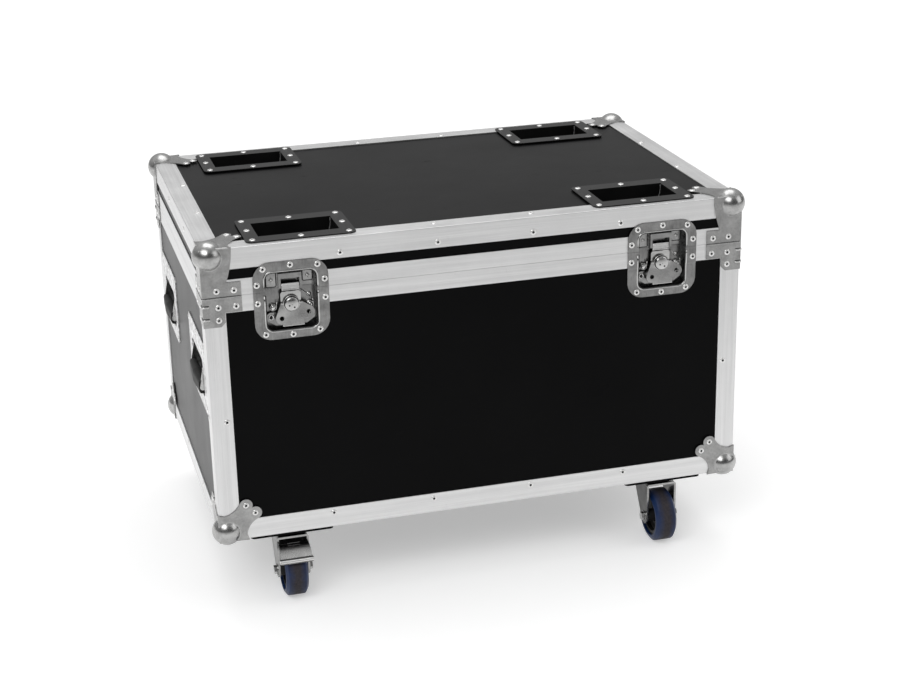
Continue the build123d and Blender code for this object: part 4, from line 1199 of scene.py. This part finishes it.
# Camera, at the photograph's own viewpoint

picture_width = 900
focal_pixels = 1812.23
azimuth = math.radians(-15.0713)
elevation = math.radians(20.3820)
roll = math.radians(-1.3745)
eye = (-0.67384, -2.58415, 1.27525)

scene = bpy.context.scene
lens_data = bpy.data.cameras.new("camera")
lens_data.sensor_width = 36.0
lens_data.sensor_fit = "HORIZONTAL"
lens_data.lens = focal_pixels * lens_data.sensor_width / picture_width
lens_data.clip_start = 0.1
lens_data.clip_end = 60.0
camera = bpy.data.objects.new("camera", lens_data)
scene.collection.objects.link(camera)
level = Vector((math.cos(azimuth), math.sin(azimuth), 0))
ahead = Vector((-math.sin(azimuth), math.cos(azimuth), 0))
back = Vector((0, 0, math.sin(elevation))) - ahead * math.cos(elevation)
upward = back.cross(level)
across = math.cos(roll) * level + math.sin(roll) * upward
above = -math.sin(roll) * level + math.cos(roll) * upward
turned = Matrix((across, above, back)).transposed().to_4x4()
camera.matrix_world = Matrix.Translation(eye) @ turned
scene.camera = camera


# Floor of pale paper: white where the camera sees it, and a dim glow in the surfaces that mirror it

white = (1, 1, 1, 1)
floor_half = 30.0
seen_near, seen_far = 1.0, 4.0
seen_glow = (0.42, 0.75)
mirror_front, mirror_rear = -1.7, 0.2
mirror_glow = (0.06, 0.44)

floor_mesh = bmesh.new()
bmesh.ops.create_grid(floor_mesh, x_segments=8, y_segments=8, size=floor_half)
floor_data = bpy.data.meshes.new("floor")
floor_mesh.to_mesh(floor_data)
floor_mesh.free()
floor = bpy.data.objects.new("floor", floor_data)
scene.collection.objects.link(floor)
paper = Shader("paper_floor")
paper.set("Base Color", grey(0.80))
paper.set("Roughness", 0.9)
paper.set("Specular IOR Level", 0.0)
rays = paper.node("ShaderNodeLightPath").outputs
distance = paper.length((paper.axis("X"), paper.axis("Y")))
seen = paper.span(distance, seen_near, seen_far, *seen_glow)
mirrored = paper.span(paper.axis("Y"), mirror_front, mirror_rear, *mirror_glow)
mirrored = paper.times(rays["Is Glossy Ray"], mirrored)
paper.set("Emission Color", white)
paper.set("Emission Strength", paper.mixed(rays["Is Camera Ray"], mirrored, seen))
floor_data.materials.append(paper.material)


# World: white to the camera, and for light a room that is darkest low in front and brightest overhead

room_slope = (0.0, 0.42, 0.85)
room_range = {"From Min": 0.0, "From Max": 0.9, "To Min": 0.08, "To Max": 0.75}

world = bpy.data.worlds.new("studio")
scene.world = world
room = Nodes(world)
ray = room.node("ShaderNodeTexCoord").outputs["Generated"]
slope = room.node("ShaderNodeVectorMath", {0: ray, 1: room_slope}, operation="DOT_PRODUCT")
glow = room.node("ShaderNodeMapRange", {"Value": slope.outputs["Value"], **room_range})
soft_light = room.node("ShaderNodeBackground", {"Color": white, "Strength": glow.outputs["Result"]})
seen_light = room.node("ShaderNodeBackground", {"Color": white, "Strength": 1.0})
seen_rays = room.node("ShaderNodeLightPath").outputs["Is Camera Ray"]
either = room.node("ShaderNodeMixShader", {0: seen_rays, 1: soft_light.outputs[0], 2: seen_light.outputs[0]})
room.node("ShaderNodeOutputWorld", {"Surface": either.outputs[0]})


# Lamps, all aimed at the middle of the case

case_middle = Vector((0, 0, 0.3))


def softbox(name, place, size, power):
    """A large rectangular lamp."""
    data = bpy.data.lights.new(name, "AREA")
    data.shape = "RECTANGLE"
    data.size, data.size_y = size
    data.energy = power
    lamp = bpy.data.objects.new(name, data)
    direction = case_middle - Vector(place)
    lamp.rotation_euler = direction.to_track_quat("-Z", "Y").to_euler()
    lamp.location = place
    scene.collection.objects.link(lamp)


softbox("key", place=(-1.6, -2.2, 2.6), size=(2.2, 1.6), power=40)
softbox("fill", place=(2.4, -1.6, 1.6), size=(1.8, 1.8), power=12)
softbox("overhead", place=(0.2, 0.6, 3.2), size=(2.6, 2.0), power=30)

scene.view_settings.view_transform = "Standard"
